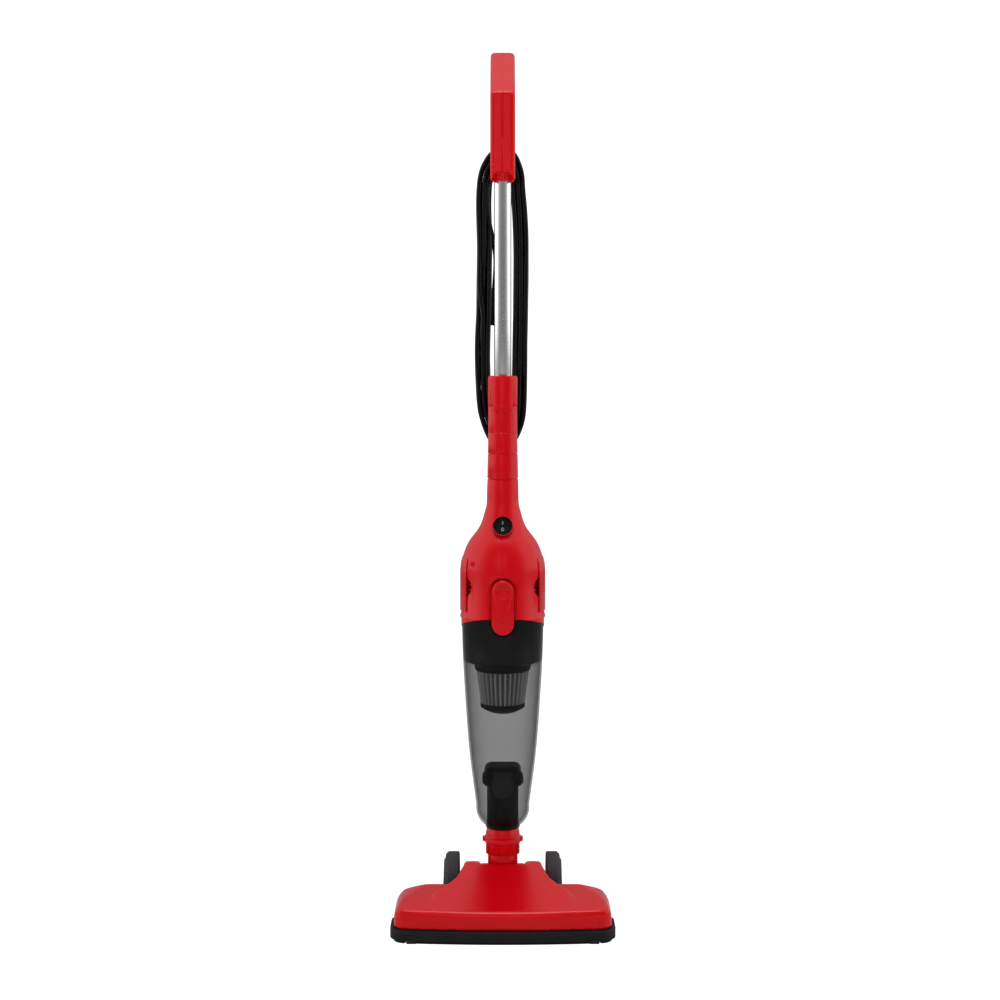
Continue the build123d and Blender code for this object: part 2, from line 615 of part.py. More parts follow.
grille = ring_z(body_r - shell_wall - 0.2, body_r - shell_wall - 2.4, window_z0 - 4, window_z1 + 4)
grille = grille & side_wedge(window_angle + 4, 70, window_z0 - 4, window_z1 + 4)
for i in range(6):
    z = window_z0 + 4 + 7 * i
    for angle in (-34, -17, 0, 17, 34):
        grille -= Rot(0, 0, angle) * block(40, 60, -6, 6, z, z + 3.6)
nodes["vent_grilles"] = group(both_sides(grille))
band_z0, band_z1 = 392.5, 468.0
band_t = 1.6
band = ring_z(body_r + band_t, body_r + 0.02, 395, 444.5) & side_wedge(31, 90, 380, 480)
band += (lathe([(body_r + 0.02, 444.5), (body_r + band_t, 444.5), (body_r + 0.6, 456),
                (body_r - 1.2, 463), (body_r - 2.0, 462.5), (body_r - 0.75, 456)])
         & side_wedge(31, 90, 380, 480)) - body_outer
nodes["side_bands"] = group(both_sides(band.solids().sort_by(SortBy.VOLUME)[-1]))

# ------------------------------------------------------------------ switch
bezel = Pos(0, 0, -4) * Cylinder(switch_ring_r - 0.02, 10) - Pos(0, 0, -4) * Cylinder(12.1, 20)
nodes["switch_bezel"] = on_switch(bezel)
housing = Pos(0, 0, -5.5) * Cylinder(12.08, 11) - Pos(0, 0, 0) * Cylinder(10.2, 14)
housing -= rod_x(1.2, -11.5, 11.5, 0, -3)
nodes["switch_housing"] = on_switch(housing)
rocker_tilt = 7.0
rocker = Cylinder(9.6, 6.5) & side_plate(
    [(-9.7, 2.6), (0, 1.1), (9.7, 2.6), (9.7, -0.4), (0, -3), (-9.7, -0.4)], -10, 10)
rocker += rod_x(1.15, -11.3, 11.3, 0, 0)
rocker_place = Pos(0, 0, -3) * Rot(rocker_tilt, 0, 0)
nodes["rocker_button"] = on_switch(rocker_place * rocker)

# ------------------------------------------------------------------ release lever
lever_pin_y, lever_pin_z = -44.5, 412.0
lever_in_r, lever_out_r = 50.6, 56.0
lever_form = stadium(lever_half, lever_bottom_z, lever_top_z, -80, -20)
lever = lever_form & ring_z(lever_out_r, lever_in_r, 360, 450)
lever -= Pos(0, -lever_out_r - 16, 424) * Sphere(18)
boss = block(-11, -6, -52, lever_pin_y, lever_pin_z - 3, lever_pin_z + 3)
boss += rod_x(3.0, -11, -6, lever_pin_y, lever_pin_z)
boss = boss - ring_z(90, lever_out_r - 3, 400, 430)
lever += both_sides(boss)
lever -= rod_x(pin_r + run_fit, -20, 20, lever_pin_y, lever_pin_z)
nodes["release_lever"] = lever
bracket_z0, bracket_z1 = 394.0, 443.5
pan_r = 41.5
bracket = stadium(lever_hole_half + 4, bracket_z0 - 30, bracket_z1 + 6, -80, -20)
bracket = bracket & ring_z(pan_r, pan_r - 2.5, bracket_z0, bracket_z1 + 6)
for side in (-1, 1):
    x0, x1 = sorted((side * 12, side * 15))
    bracket += block(x0, x1, lever_pin_y - 2.5, -36, lever_pin_z - 4, lever_pin_z + 4)
    x0, x1 = sorted((side * 17.6, side * 20.6))
    wall = block(x0, x1, -60, -34, bracket_z0, bracket_z1) & rod_z(body_r - shell_wall - 0.2, 380, 460)
    bracket += wall
bracket -= rod_x(pin_r, -16, 16, lever_pin_y, lever_pin_z)
nodes["lever_bracket"] = bracket
nodes["lever_pin"] = rod_x(pin_r, -15, 15, lever_pin_y, lever_pin_z)
coil = Helix(pitch=1.4, height=8.4, radius=2.4)
coil_face = Plane(origin=coil @ 0, z_dir=coil % 0) * Circle(0.4)
coil_spring = sweep(coil_face, path=coil, is_frenet=True)
nodes["lever_spring"] = Pos(-4.2, lever_pin_y, lever_pin_z) * Rot(0, 90, 0) * coil_spring

# ------------------------------------------------------------------ fasteners and hooks
screws = []
for z, y in screw_spots:
    edge = (19.5 if z > 500 else 35.0) - 4
    screws.append(rod_x(3.0, -edge - 2, -edge, y, z) + rod_x(screw_r - 0.02, -edge, edge - 3, y, z))
nodes["shell_screws"] = group(screws)

hook_tip_y = hank_front_y + hank_thick + 5
low_hook = block(-hook_half + 0.1, hook_half - 0.1, 15, hook_tip_y, low_hook_z - 3.9,
                 low_hook_z + 3.9)
low_hook += block(-hook_half + 0.1, hook_half - 0.1, hank_front_y + hank_thick + 1, hook_tip_y,
                  low_hook_z - 18, low_hook_z + 3.9)
low_hook = fillet(low_hook.edges().filter_by(Axis.Y), 1.5)
nodes["lower_hook"] = low_hook - rod_z(neck_body_r - shell_wall, 600, 660)

# ------------------------------------------------------------------ wand
adapter = lathe([
    (tube_r, tube_bottom_z + 8), (spigot_wand_r, tube_bottom_z + 8), (spigot_wand_r, body_top_z + 0.2),
    (19.0, body_top_z + 0.2), (19.3, adapter_top_z - 3), (18.2, adapter_top_z), (tube_r, adapter_top_z)])
tongue = ring_z(neck_body_r + 1.2, neck_body_r + 0.02, body_top_z - 6, body_top_z + 2)
adapter += tongue & block(-11.5, 11.5, -40, 0, 600, 700)
screw_boss_slot = rod_x(boss_r + 0.2, -30, 30, 0, 641)
adapter -= screw_boss_slot
nodes["wand_adapter"] = adapter
tube_top_z = handle_bottom_z + 34
wand = ring_z(tube_r, tube_r - tube_wall, tube_bottom_z + 8, tube_top_z)
nodes["wand_tube"] = wand - screw_boss_slot

# ------------------------------------------------------------------ handle
column_front, column_back = -16.0, 13.0
crease_z = overall_height - 63
handle_outline = [
    (column_front, handle_bottom_z), (column_front + 1, crease_z), (handle_reach - 32, overall_height - 1),
    (handle_reach - 22, overall_height - 0.5), (handle_reach - 1, overall_height - 14),
    (handle_reach, overall_height - 71), (handle_reach - 8, overall_height - 85),
    (column_back + 8, overall_height - 114), (column_back, overall_height - 120),
    (column_back, handle_bottom_z + 12), (column_back - 1, handle_bottom_z)]
loop_outline = [
    (column_back - 2, overall_height - 87), (column_back - 1.5, overall_height - 68.5),
    (handle_reach - 34, overall_height - 24),
    (handle_reach - 24, overall_height - 24), (handle_reach - 20, overall_height - 30),
    (handle_reach - 20, overall_height - 63), (handle_reach - 26, overall_height - 69)]


def handle_profile(points, radii):
    line = FilletPolyline(*points, radius=radii, close=True)
    return Plane.YZ * make_face(line)


outer_radii = [3, 6, 14, 14, 20, 14, 14, 6, 6, 12, 2]
loop_radii = [7, 9, 8, 6, 8, 8, 8]


def outer_profile():
    return handle_profile(handle_outline, outer_radii)


def loop_profile():
    return handle_profile(loop_outline, loop_radii)


grip = extrude(outer_profile(), amount=handle_half, both=True)
grip -= extrude(loop_profile(), amount=60, both=True)
grip = fillet(grip.faces().sort_by(Axis.X)[-1].edges(), 5.5)
grip = fillet(grip.faces().sort_by(Axis.X)[0].edges(), 5.5)
handle_wall = 2.6
room_face = offset(make_face(FilletPolyline(*handle_outline, radius=outer_radii, close=True)),
                   amount=-handle_wall)
room_loop = offset(make_face(FilletPolyline(*loop_outline, radius=loop_radii, close=True)),
                   amount=handle_wall)
room = extrude(Plane.YZ * (room_face - room_loop), amount=handle_half - 6, both=True)
room = room & block(-30, 30, -30, 120, tube_top_z + 4, 1200)
grip -= room
grip -= rod_z(tube_r + 0.02, handle_bottom_z - 2, tube_top_z)
rim_arch = rod_y(17.0, -40, 40, 0, handle_bottom_z - 4)
grip -= rim_arch & block(-12.5, 12.5, -40, 40, handle_bottom_z - 2, handle_bottom_z + 14)
grip += ring_z(13.4, tube_r + 0.02, handle_bottom_z + 2, handle_bottom_z + 16)
hook_peg_top = hank_top_z - strand_band - part_gap
hook_root_y = tube_r + 0.3
grip -= block(-hook_half, hook_half, hook_root_y - 0.1, 30, hook_peg_top - 8, hook_peg_top)
nodes["handle_right"] = grip & block(0, 60, -60, 160, 900, 1200)
nodes["handle_left"] = grip - block(0, 60, -60, 160, 900, 1200)
top_hook = block(-hook_half + 0.1, hook_half - 0.1, hook_root_y, hook_tip_y,
                 hook_peg_top - 7.9, hook_peg_top - 0.1)
top_hook += block(-hook_half + 0.1, hook_half - 0.1, hank_front_y + hank_thick + 1, hook_tip_y,
                  hook_peg_top - 7.9, hook_peg_top + 14)
top_hook = fillet(top_hook.edges().filter_by(Axis.Y), 1.5)
nodes["upper_hook"] = top_hook

# ------------------------------------------------------------------ mains cord
hank_outline = [
    (-11, hank_top_z), (11, hank_top_z), (30, hank_top_z - 61), (34, hank_top_z - 116), (31, 655),
    (12, hank_bottom_z), (-12, hank_bottom_z), (-34, 655), (-37.5, hank_top_z - 106),
    (-36.5, hank_top_z - 41), (-27, hank_top_z - 11)]
hank_radii = [9, 9, 40, 300, 40, 10, 10, 40, 400, 20, 12]
hank_line = make_face(FilletPolyline(*hank_outline, radius=hank_radii, close=True))
eye_top, eye_bottom = hank_top_z - strand_band, hank_bottom_z + strand_band
eye_half = hook_half + 1.2
eye_outline = [
    (-eye_half, eye_top), (eye_half, eye_top), (11.5, hank_top_z - 71), (14.5, hank_top_z - 116), (11.5, 665),
    (eye_half, eye_bottom), (-eye_half, eye_bottom), (-14.5, 665), (-18, hank_top_z - 106),
    (-17, hank_top_z - 46)]
eye_radii = [4, 4, 40, 300, 60, 4, 4, 60, 400, 14]
hank_face = hank_line - make_face(FilletPolyline(*eye_outline, radius=eye_radii, close=True))
hank = extrude(Plane.XZ * hank_face, amount=-hank_thick)
hank_solid = Pos(0, hank_front_y, 0) * hank
nodes["cord_hank"] = hank_solid

gland = Pos(0, 0, -4) * Cylinder(5.4, 10)
gland += Pos(0, 0, 13) * Cone(5.2, 4.3, 24)
gland_flange = gland_plane * (Pos(0, 0, 3) * Cylinder(6.8, 7)) - body_outer
nodes["strain_relief"] = gland_plane * gland + gland_flange

lead_route = [
    (0, 38.65, 586.5), (0, 57.7, 597.5), (5.5, 67.5, 616), (12, 66, 641), (16.5, 57, 664.5),
    (18.4, 47, 688.5), (18.2, 40.5, 715), (17.8, 38.3, 744)]
tail_route = [
    (x, y, hank_top_z - drop) for x, y, drop in [
        (-20.6, 24.6, 46), (-20.2, 24.5, 71), (-17.8, 26, 95), (-12.4, 31.5, 116), (-9, 40, 135),
        (-9, 47.5, 156), (-11, 50.3, 179)]]


def cord_tube(route, label):
    """A round cord along straight runs that tangent arcs join."""
    points = [Vector(*p) for p in route]
    radii = []
    for a, b, c in zip(points, points[1:], points[2:]):
        turn = (b - a).get_angle(c - b)
        shorter = min((b - a).length, (c - b).length)
        radii.append(0.45 * shorter / tan(radians(turn / 2)))
    path = FilletPolyline(*points, radius=radii)
    print(label, "radii", [round(r) for r in radii], "length", round(path.length, 1))
    section = Plane(origin=path @ 0, z_dir=path % 0) * Circle(cord_d / 2)
    tube = sweep(section, path=path)
    print(label, "volume over section times length",
          round(tube.volume / (pi * cord_d ** 2 / 4 * path.length), 4))
    return tube


nodes["power_cord"] = cord_tube(lead_route, "power_cord")
nodes["cord_tail"] = cord_tube(tail_route, "cord_tail")

tail_end = Vector(*tail_route[-1])
tail_way = (tail_end - Vector(*tail_route[-2])).normalized()
plug_plane = Plane(origin=tail_end, x_dir=Vector(1, 0, 0).cross(tail_way).cross(tail_way) * -1,
                   z_dir=tail_way)
boot = Pos(0, 0, 9) * Cone(3.6, 5.6, 18)
grip_face = RectangleRounded(30, 14, 5)
plug_len = 30.0
shell_low = loft([Pos(0, 0, 16) * RectangleRounded(14, 11, 4), Pos(0, 0, 24) * RectangleRounded(26, 13.4, 5)])
shell_high = extrude(Pos(0, 0, 24) * RectangleRounded(26, 13.4, 5), amount=18)
shell_front = extrude(Pos(0, 0, 42) * RectangleRounded(34, 15, 5), amount=6)
plug = boot + shell_low + shell_high + shell_front
pins = [Pos(x, 0, 54) * Cylinder(2.0, 20) for x in (-9.5, 9.5)]
for pin in pins:
    plug -= pin
nodes["plug_body"] = plug_plane * plug
nodes["plug_pins"] = group([plug_plane * pin for pin in pins])

# ------------------------------------------------------------------ write the pieces
for name, shape in nodes.items():
    shape = Pos(0, origin_shift, 0) * shape
    solids = shape.solids()
    whole = Compound(children=list(solids)) if len(solids) > 1 else solids[0]
    export_step(whole, f"parts/{name}.step")
print(len(nodes), "nodes")
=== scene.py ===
import json
import math

import bmesh
import bpy
from mathutils import Matrix, Vector
from mathutils.bvhtree import BVHTree

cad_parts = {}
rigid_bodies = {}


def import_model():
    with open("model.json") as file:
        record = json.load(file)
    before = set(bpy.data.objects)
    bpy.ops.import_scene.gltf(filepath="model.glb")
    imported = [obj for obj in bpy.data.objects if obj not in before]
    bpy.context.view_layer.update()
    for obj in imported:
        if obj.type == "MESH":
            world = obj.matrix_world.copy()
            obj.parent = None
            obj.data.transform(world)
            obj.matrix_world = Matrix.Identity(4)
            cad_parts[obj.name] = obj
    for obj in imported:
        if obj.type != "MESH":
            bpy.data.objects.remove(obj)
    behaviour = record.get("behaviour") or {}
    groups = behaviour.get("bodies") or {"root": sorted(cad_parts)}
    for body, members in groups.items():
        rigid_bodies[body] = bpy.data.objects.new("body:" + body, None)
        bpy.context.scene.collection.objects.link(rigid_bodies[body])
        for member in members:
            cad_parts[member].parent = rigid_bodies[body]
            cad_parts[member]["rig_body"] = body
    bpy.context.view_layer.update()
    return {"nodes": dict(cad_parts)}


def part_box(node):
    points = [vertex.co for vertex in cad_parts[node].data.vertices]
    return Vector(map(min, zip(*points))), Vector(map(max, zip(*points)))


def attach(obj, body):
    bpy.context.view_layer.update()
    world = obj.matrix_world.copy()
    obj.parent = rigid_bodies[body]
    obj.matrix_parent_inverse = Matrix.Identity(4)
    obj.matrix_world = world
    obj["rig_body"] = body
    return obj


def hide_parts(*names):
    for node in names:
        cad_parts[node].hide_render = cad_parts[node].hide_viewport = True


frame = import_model()

# ---------------------------------------------------------------- camera
# A level camera at the height of the wand, square to the front of the cleaner.
# A long lens and a downward shift keep the uprights parallel.
axis_y = 0.0155                       # the upright's axis, in metres behind the part's origin
camera_aside, camera_away, camera_height = -0.0035, 2.5, 0.75
camera_data = bpy.data.cameras.new("studio_camera")
camera_data.lens = 70.3
camera_data.sensor_width = 36.0
camera_data.shift_y = -0.168
camera = bpy.data.objects.new("studio_camera", camera_data)
camera.location = (camera_aside, axis_y - camera_away, camera_height)
camera.rotation_euler = (math.radians(90), 0, 0)
bpy.context.scene.collection.objects.link(camera)
bpy.context.scene.camera = camera
bpy.context.scene.view_settings.view_transform = "Standard"
bpy.context.scene.view_settings.look = "Medium High Contrast"

# ---------------------------------------------------------------- lights
# Two tall soft boxes at the sides, one overhead, a fill by the camera and one behind, as
# a studio lights a glossy appliance on white. Only the overhead box is mirrored.


def soft_box(name, place, target, width, height, watts, mirrored=True):
    """A rectangular area light that faces its target, seen in glossy surfaces or not."""
    lamp = bpy.data.lights.new(name, "AREA")
    lamp.shape = "RECTANGLE"
    lamp.size, lamp.size_y = width, height
    lamp.energy = watts
    stand = bpy.data.objects.new(name, lamp)
    stand.location = place
    stand.rotation_euler = (Vector(target) - Vector(place)).to_track_quat("-Z", "Y").to_euler()
    stand.visible_glossy = mirrored
    bpy.context.scene.collection.objects.link(stand)


soft_box("left_box", (-1.5, -0.5, 0.85), (0, axis_y, 0.6), 0.8, 2.0, 10, mirrored=False)
soft_box("right_box", (1.5, -0.5, 0.85), (0, axis_y, 0.6), 0.8, 2.0, 10, mirrored=False)
soft_box("top_box", (0.0, -0.25, 2.6), (0, axis_y, 0.4), 1.3, 1.0, 11.5)
soft_box("front_fill", (-0.3, -2.6, 1.3), (0, axis_y, 0.5), 1.4, 1.4, 18.5, mirrored=False)
soft_box("back_box", (0.6, 2.2, 1.8), (0, axis_y, 0.5), 1.6, 1.4, 12, mirrored=False)

# ---------------------------------------------------------------- maths for the finishes
# One class wraps a socket so that shader maths reads as a formula, and one method of a
# finish adds any other node.


class Amount:
    """A number that changes over a surface, held as a node's output socket."""

    def __init__(self, finish, socket):
        self.finish, self.socket = finish, socket

    def _maths(self, operation, *values):
        sockets = [v.socket if isinstance(v, Amount) else v for v in values]
        node = self.finish.add("ShaderNodeMath", {"operation": operation}, dict(enumerate(sockets)))
        return Amount(self.finish, node.outputs[0])

    def __add__(self, other):
        return self._maths("ADD", self, other)

    def __sub__(self, other):
        return self._maths("SUBTRACT", self, other)

    def __mul__(self, other):
        return self._maths("MULTIPLY", self, other)

    def __truediv__(self, other):
        return self._maths("DIVIDE", self, other)

    def __radd__(self, other):
        return self._maths("ADD", other, self)

    def __rmul__(self, other):
        return self._maths("MULTIPLY", other, self)

    def __pow__(self, other):
        return self._maths("POWER", self, other)

    def clear_of(self, edge, softness):
        """0 below the edge and 1 above it, over the softness."""
        return ((self - edge) / softness + 0.5).held()

    def held(self):
        """Kept between 0 and 1."""
        return self._maths("MINIMUM", self._maths("MAXIMUM", self, 0.0), 1.0)

    def wave(self):
        return self._maths("SINE", self)


class Finish:
    """A material with a Principled shader, and the nodes that vary it over the surface."""

    def __init__(self, name, **fixed):
        self.material = bpy.data.materials.new(name)
        self.material.use_nodes = True
        self.tree = self.material.node_tree
        self.shader = self.tree.nodes["Principled BSDF"]
        for socket, value in fixed.items():
            self.shader.inputs[socket.replace("_", " ")].default_value = value

    def add(self, kind, settings=None, sockets=None):
        """Any node: its settings are made first, and then its sockets are set or linked."""
        node = self.tree.nodes.new(kind)
        for name, value in (settings or {}).items():
            if name == "stops":
                ramp = node.color_ramp
                while len(ramp.elements) < len(value):
                    ramp.elements.new(1.0)
                for element, (place, colour) in zip(ramp.elements, value):
                    element.position, element.color = place, colour
            else:
                setattr(node, name, value)
        for name, value in (sockets or {}).items():
            if isinstance(value, Amount):
                value = value.socket
            if isinstance(value, bpy.types.NodeSocket):
                self.tree.links.new(value, node.inputs[name])
            else:
                node.inputs[name].default_value = value
        return node

    def place(self):
        """Object coordinates, in metres."""
        return self.add("ShaderNodeTexCoord").outputs["Object"]

    def across(self):
        """The three Object coordinates, one amount each."""
        split = self.add("ShaderNodeSeparateXYZ", None, {"Vector": self.place()})
        return [Amount(self, split.outputs[i]) for i in range(3)]

    def noise(self, per_metre, detail=2.0, stretch=(1, 1, 1)):
        """Noise from 0 to 1, with so many grains in a metre."""
        spread = self.add("ShaderNodeMapping", None, {"Vector": self.place(), "Scale": stretch})
        grain = self.add("ShaderNodeTexNoise", None, {
            "Vector": spread.outputs[0], "Scale": float(per_metre), "Detail": detail, "Roughness": 0.55})
        return Amount(self, grain.outputs[0])

    def mixed(self, low, high, share):
        """A colour between two, by a share."""
        mix = self.add("ShaderNodeMix", {"data_type": "RGBA"}, {0: share, 6: low, 7: high})
        return mix.outputs[2]

    def link(self, name, value):
        socket = value.socket if isinstance(value, Amount) else value
        self.tree.links.new(socket, self.shader.inputs[name])

    def raised(self, height, depth, strength=1.0):
        """Bump from a height of 0 to 1 that stands for so many metres."""
        bump = self.add("ShaderNodeBump", None, {
            "Height": height, "Distance": depth, "Strength": strength})
        self.link("Normal", bump.outputs[0])


def deselect():
    if bpy.context.object and bpy.context.object.mode != "OBJECT":
        bpy.ops.object.mode_set(mode="OBJECT")
    bpy.ops.object.select_all(action="DESELECT")


def chosen(piece):
    """Only this piece is selected and active."""
    deselect()
    piece.select_set(True)
    bpy.context.view_layer.objects.active = piece


def painted(piece, finish):
    """The finish is the piece's only material."""
    piece.data.materials.clear()
    piece.data.materials.append(finish.material)


# ---------------------------------------------------------------- floor and surroundings
# A plain pale floor that runs out to white, under an even white surround. Glossy pieces
# mirror a surround that is dim by the camera and bright at the sides.
bpy.ops.mesh.primitive_circle_add(vertices=96, radius=7.0, fill_type="NGON", location=(0, 0, -0.0005))
floor = bpy.context.object
floor.name = "studio_floor"
floor_finish = Finish("studio_floor", Base_Color=(0.7, 0.7, 0.7, 1), Roughness=0.6)
floor_x, floor_y = floor_finish.across()[:2]
near_white, white_from, white_over = 0.94, 1.0, 1.3
far_out = ((floor_x * floor_x + floor_y * floor_y) ** 0.5).clear_of(white_from, white_over)
looked_at = Amount(floor_finish, floor_finish.add("ShaderNodeLightPath").outputs["Is Camera Ray"])
glow = floor_finish.add("ShaderNodeEmission", None, {"Color": (1, 1, 1, 1), "Strength": 1.0})
blend = floor_finish.add("ShaderNodeMixShader", None, {
    0: ((near_white + far_out) * looked_at).held(), 1: floor_finish.shader.outputs[0], 2: glow.outputs[0]})
output = floor_finish.tree.nodes["Material Output"]
floor_finish.tree.links.new(blend.outputs[0], output.inputs["Surface"])
painted(floor, floor_finish)

world = bpy.data.worlds.new("white_surround")
bpy.context.scene.world = world
world.use_nodes = True
world_tree = world.node_tree
world_ray = world_tree.nodes.new("ShaderNodeLightPath")
facing_way = world_tree.nodes.new("ShaderNodeSeparateXYZ")
world_tree.links.new(world_tree.nodes.new("ShaderNodeTexCoord").outputs["Generated"], facing_way.inputs[0])
way_back = world_tree.nodes.new("ShaderNodeMapRange")
way_back.inputs["From Min"].default_value, way_back.inputs["From Max"].default_value = -1.0, 1.0
world_tree.links.new(facing_way.outputs["Y"], way_back.inputs["Value"])
dim_front = world_tree.nodes.new("ShaderNodeValToRGB")
# how far round to the back, and how bright the surround is there
dim_stops = [(0.0, 0.18), (0.1, 0.24), (0.22, 0.42), (0.33, 0.85), (0.42, 1.35), (0.72, 1.1), (0.93, 0.4)]
while len(dim_front.color_ramp.elements) < len(dim_stops):
    dim_front.color_ramp.elements.new(1.0)
for element, (place, level) in zip(dim_front.color_ramp.elements, dim_stops):
    element.position, element.color = place, (level, level, level, 1)
world_tree.links.new(way_back.outputs["Result"], dim_front.inputs["Fac"])
lit = world_tree.nodes["Background"]
lit.inputs["Color"].default_value = (1, 1, 1, 1)
lit.inputs["Strength"].default_value = 0.17
mirrored_sky = world_tree.nodes.new("ShaderNodeBackground")
world_tree.links.new(dim_front.outputs["Color"], mirrored_sky.inputs["Color"])
white_sky = world_tree.nodes.new("ShaderNodeBackground")
white_sky.inputs["Color"].default_value = (1, 1, 1, 1)
shown = lit.outputs[0]
for ray_kind, sky in (("Is Glossy Ray", mirrored_sky), ("Is Camera Ray", white_sky)):
    either = world_tree.nodes.new("ShaderNodeMixShader")
    world_tree.links.new(world_ray.outputs[ray_kind], either.inputs[0])
    world_tree.links.new(shown, either.inputs[1])
    world_tree.links.new(sky.outputs[0], either.inputs[2])
    shown = either.outputs[0]
world_tree.links.new(shown, world_tree.nodes["World Output"].inputs[0])

# ---------------------------------------------------------------- mains cord
# Just under seven metres of round black mains lead. It leaves the strain relief, is wound nine
# turns round the two hooks behind the wand, and its last end hangs free with the plug.
cord_d = 0.0065
strand_r = cord_d / 2
cord_gap = 0.0065                     # from one strand to the next beside it
layer_gap = 0.0070                    # from one layer of strands to the next
first_layer = 0.00335                 # from the hank's front to its first layer's middle
hank_front = 0.0210 + axis_y
hank_top_z, eye_bottom_z = 0.986, 0.6235
eye_top_z = hank_top_z - 0.0195
lead_points = [
    (0, 0.03865, 0.5865), (0, 0.0577, 0.5975), (0.0055, 0.0675, 0.616), (0.012, 0.066, 0.641),
    (0.0165, 0.057, 0.6645), (0.0184, 0.047, 0.6885), (0.0182, 0.0405, 0.715)]
tail_points = [
    (x, y, hank_top_z - drop) for x, y, drop in [
        (-0.0206, 0.0246, 0.046), (-0.0202, 0.0245, 0.071), (-0.0178, 0.026, 0.095),
        (-0.0124, 0.0315, 0.116), (-0.009, 0.040, 0.135), (-0.009, 0.0475, 0.156),
        (-0.011, 0.0503, 0.179)]]
# The order in which the nine places of the hank's section are filled: (layer, column),
# layer 0 next to the wand and column 0 next to the middle.
winding = [(2, 0), (2, 1), (2, 2), (1, 2), (0, 2), (0, 1), (1, 1), (1, 0), (0, 0)]
# Half the width of the gap between the hank's two sides: (height, right, left).
gap_halves = [
    (0.640, 0.0112, 0.0134), (0.714, 0.0124, 0.0168), (0.753, 0.0130, 0.0158),
    (0.855, 0.0147, 0.0134), (0.905, 0.0124, 0.0148), (0.925, 0.0110, 0.0152), (0.945, 0.0085, 0.0150)]


def strand_at(place, side, height):
    """Where a strand in one place of the section runs, at a height on one side of the hank."""
    layer, column = place
    known = [(row[0], row[1] if side > 0 else row[2]) for row in gap_halves]
    inner = known[0][1] if height < known[0][0] else known[-1][1]
    for (low, half_low), (high, half_high) in zip(known, known[1:]):
        if low <= height <= high:
            inner = half_low + (half_high - half_low) * (height - low) / (high - low)
    x = inner + strand_r + cord_gap * column
    wander = 0.0005 * math.sin(31.0 * height + 1.7 * layer + 2.3 * column + side)
    y = hank_front + first_layer + layer_gap * layer + 0.0003 * math.sin(27.0 * height + column - layer)
    return (side * (x + wander), y, height)


def round_hook(place):
    """How far out from a hook a place of the section lies, and how far behind the wand."""
    layer, column = place
    return strand_r + cord_gap * column, hank_front + first_layer + layer_gap * layer


cord_points = [(x, y + axis_y, z) for x, y, z in lead_points]
shift_heights = [0.922 - 0.029 * i for i in range(len(winding))]
for turn, place in enumerate(winding):
    out, y = round_hook(place)
    # up the right side: the first turn starts part of the way up
    rising = [0.652, 0.700, 0.760, 0.815, 0.870, 0.910, 0.935]
    if turn == 0:
        rising = rising[2:]
    for height in rising:
        cord_points.append(strand_at(place, 1, height))
    # over the upper hook
    cord_points.append((0.0098 + 0.95 * out, y, eye_top_z - 0.018 + 0.45 * out))
    cord_points.append((0.0066 + 0.68 * out, y, eye_top_z - 0.004 + 0.85 * out))
    cord_points.append((0.0050 + 0.4 * out, y, eye_top_z + out))
    cord_points.append((-0.0050 - 0.4 * out, y, eye_top_z + out))
    cord_points.append((-0.0072 - 0.72 * out, y, eye_top_z - 0.004 + 0.85 * out))
    if turn == len(winding) - 1:
        break
    cord_points.append((-0.0130 - out, y, eye_top_z - 0.018 + 0.45 * out))
    # down the left side, moving over to the next place where that has just been left
    following = winding[turn + 1]
    move_at = shift_heights[len(winding) - 1 - turn]
    for height in shift_heights:
        cord_points.append(strand_at(place if height >= move_at else following, -1, height))
    cord_points.append(strand_at(following, -1, 0.652))
    # under the lower hook
    out, y = round_hook(following)
    low_shoulder = 0.0098 + 0.95 * out
    cord_points.append((-low_shoulder, y, 0.6405 - 0.5 * out))
    cord_points.append((-0.0066 - 0.65 * out, y, 0.6270 - 0.88 * out))
    cord_points.append((-0.0050 - 0.4 * out, y, eye_bottom_z - out))
    cord_points.append((0.0050 + 0.4 * out, y, eye_bottom_z - out))
    cord_points.append((0.0066 + 0.65 * out, y, 0.6270 - 0.88 * out))
    cord_points.append((low_shoulder, y, 0.6405 - 0.5 * out))
cord_points += [(x, y + axis_y, z) for x, y, z in tail_points]

cord_curve = bpy.data.curves.new("mains_cord", "CURVE")
cord_curve.dimensions = "3D"
cord_line = cord_curve.splines.new("NURBS")
cord_line.points.add(len(cord_points) - 1)
for point, place in zip(cord_line.points, cord_points):
    point.co = (*place, 1.0)
cord_line.order_u = 3
cord_line.use_endpoint_u = True
cord_line.resolution_u = 6
cord_curve.bevel_depth = strand_r
cord_curve.bevel_resolution = 4
cord_curve.use_fill_caps = True
mains_cord = bpy.data.objects.new("mains_cord", cord_curve)
bpy.context.scene.collection.objects.link(mains_cord)

cord_finish = Finish("cord_jacket", Base_Color=(0.012, 0.0115, 0.0115, 1), Roughness=0.24)
cord_finish.shader.inputs["Specular IOR Level"].default_value = 0.3
cord_finish.shader.inputs["Coat Weight"].default_value = 0.2
cord_finish.shader.inputs["Coat Roughness"].default_value = 0.12
cord_grain = cord_finish.noise(900, 3)
cord_finish.link("Roughness", 0.12 + cord_grain * 0.12)
cord_finish.link("Base Color", cord_finish.mixed(
    (0.004, 0.004, 0.004, 1), (0.009, 0.0085, 0.0085, 1), cord_finish.noise(35, 3)))
cord_finish.raised(cord_grain, 0.00008, 0.5)
cord_curve.materials.append(cord_finish.material)
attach(mains_cord, "motor_body")
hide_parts("power_cord", "cord_hank", "cord_tail")


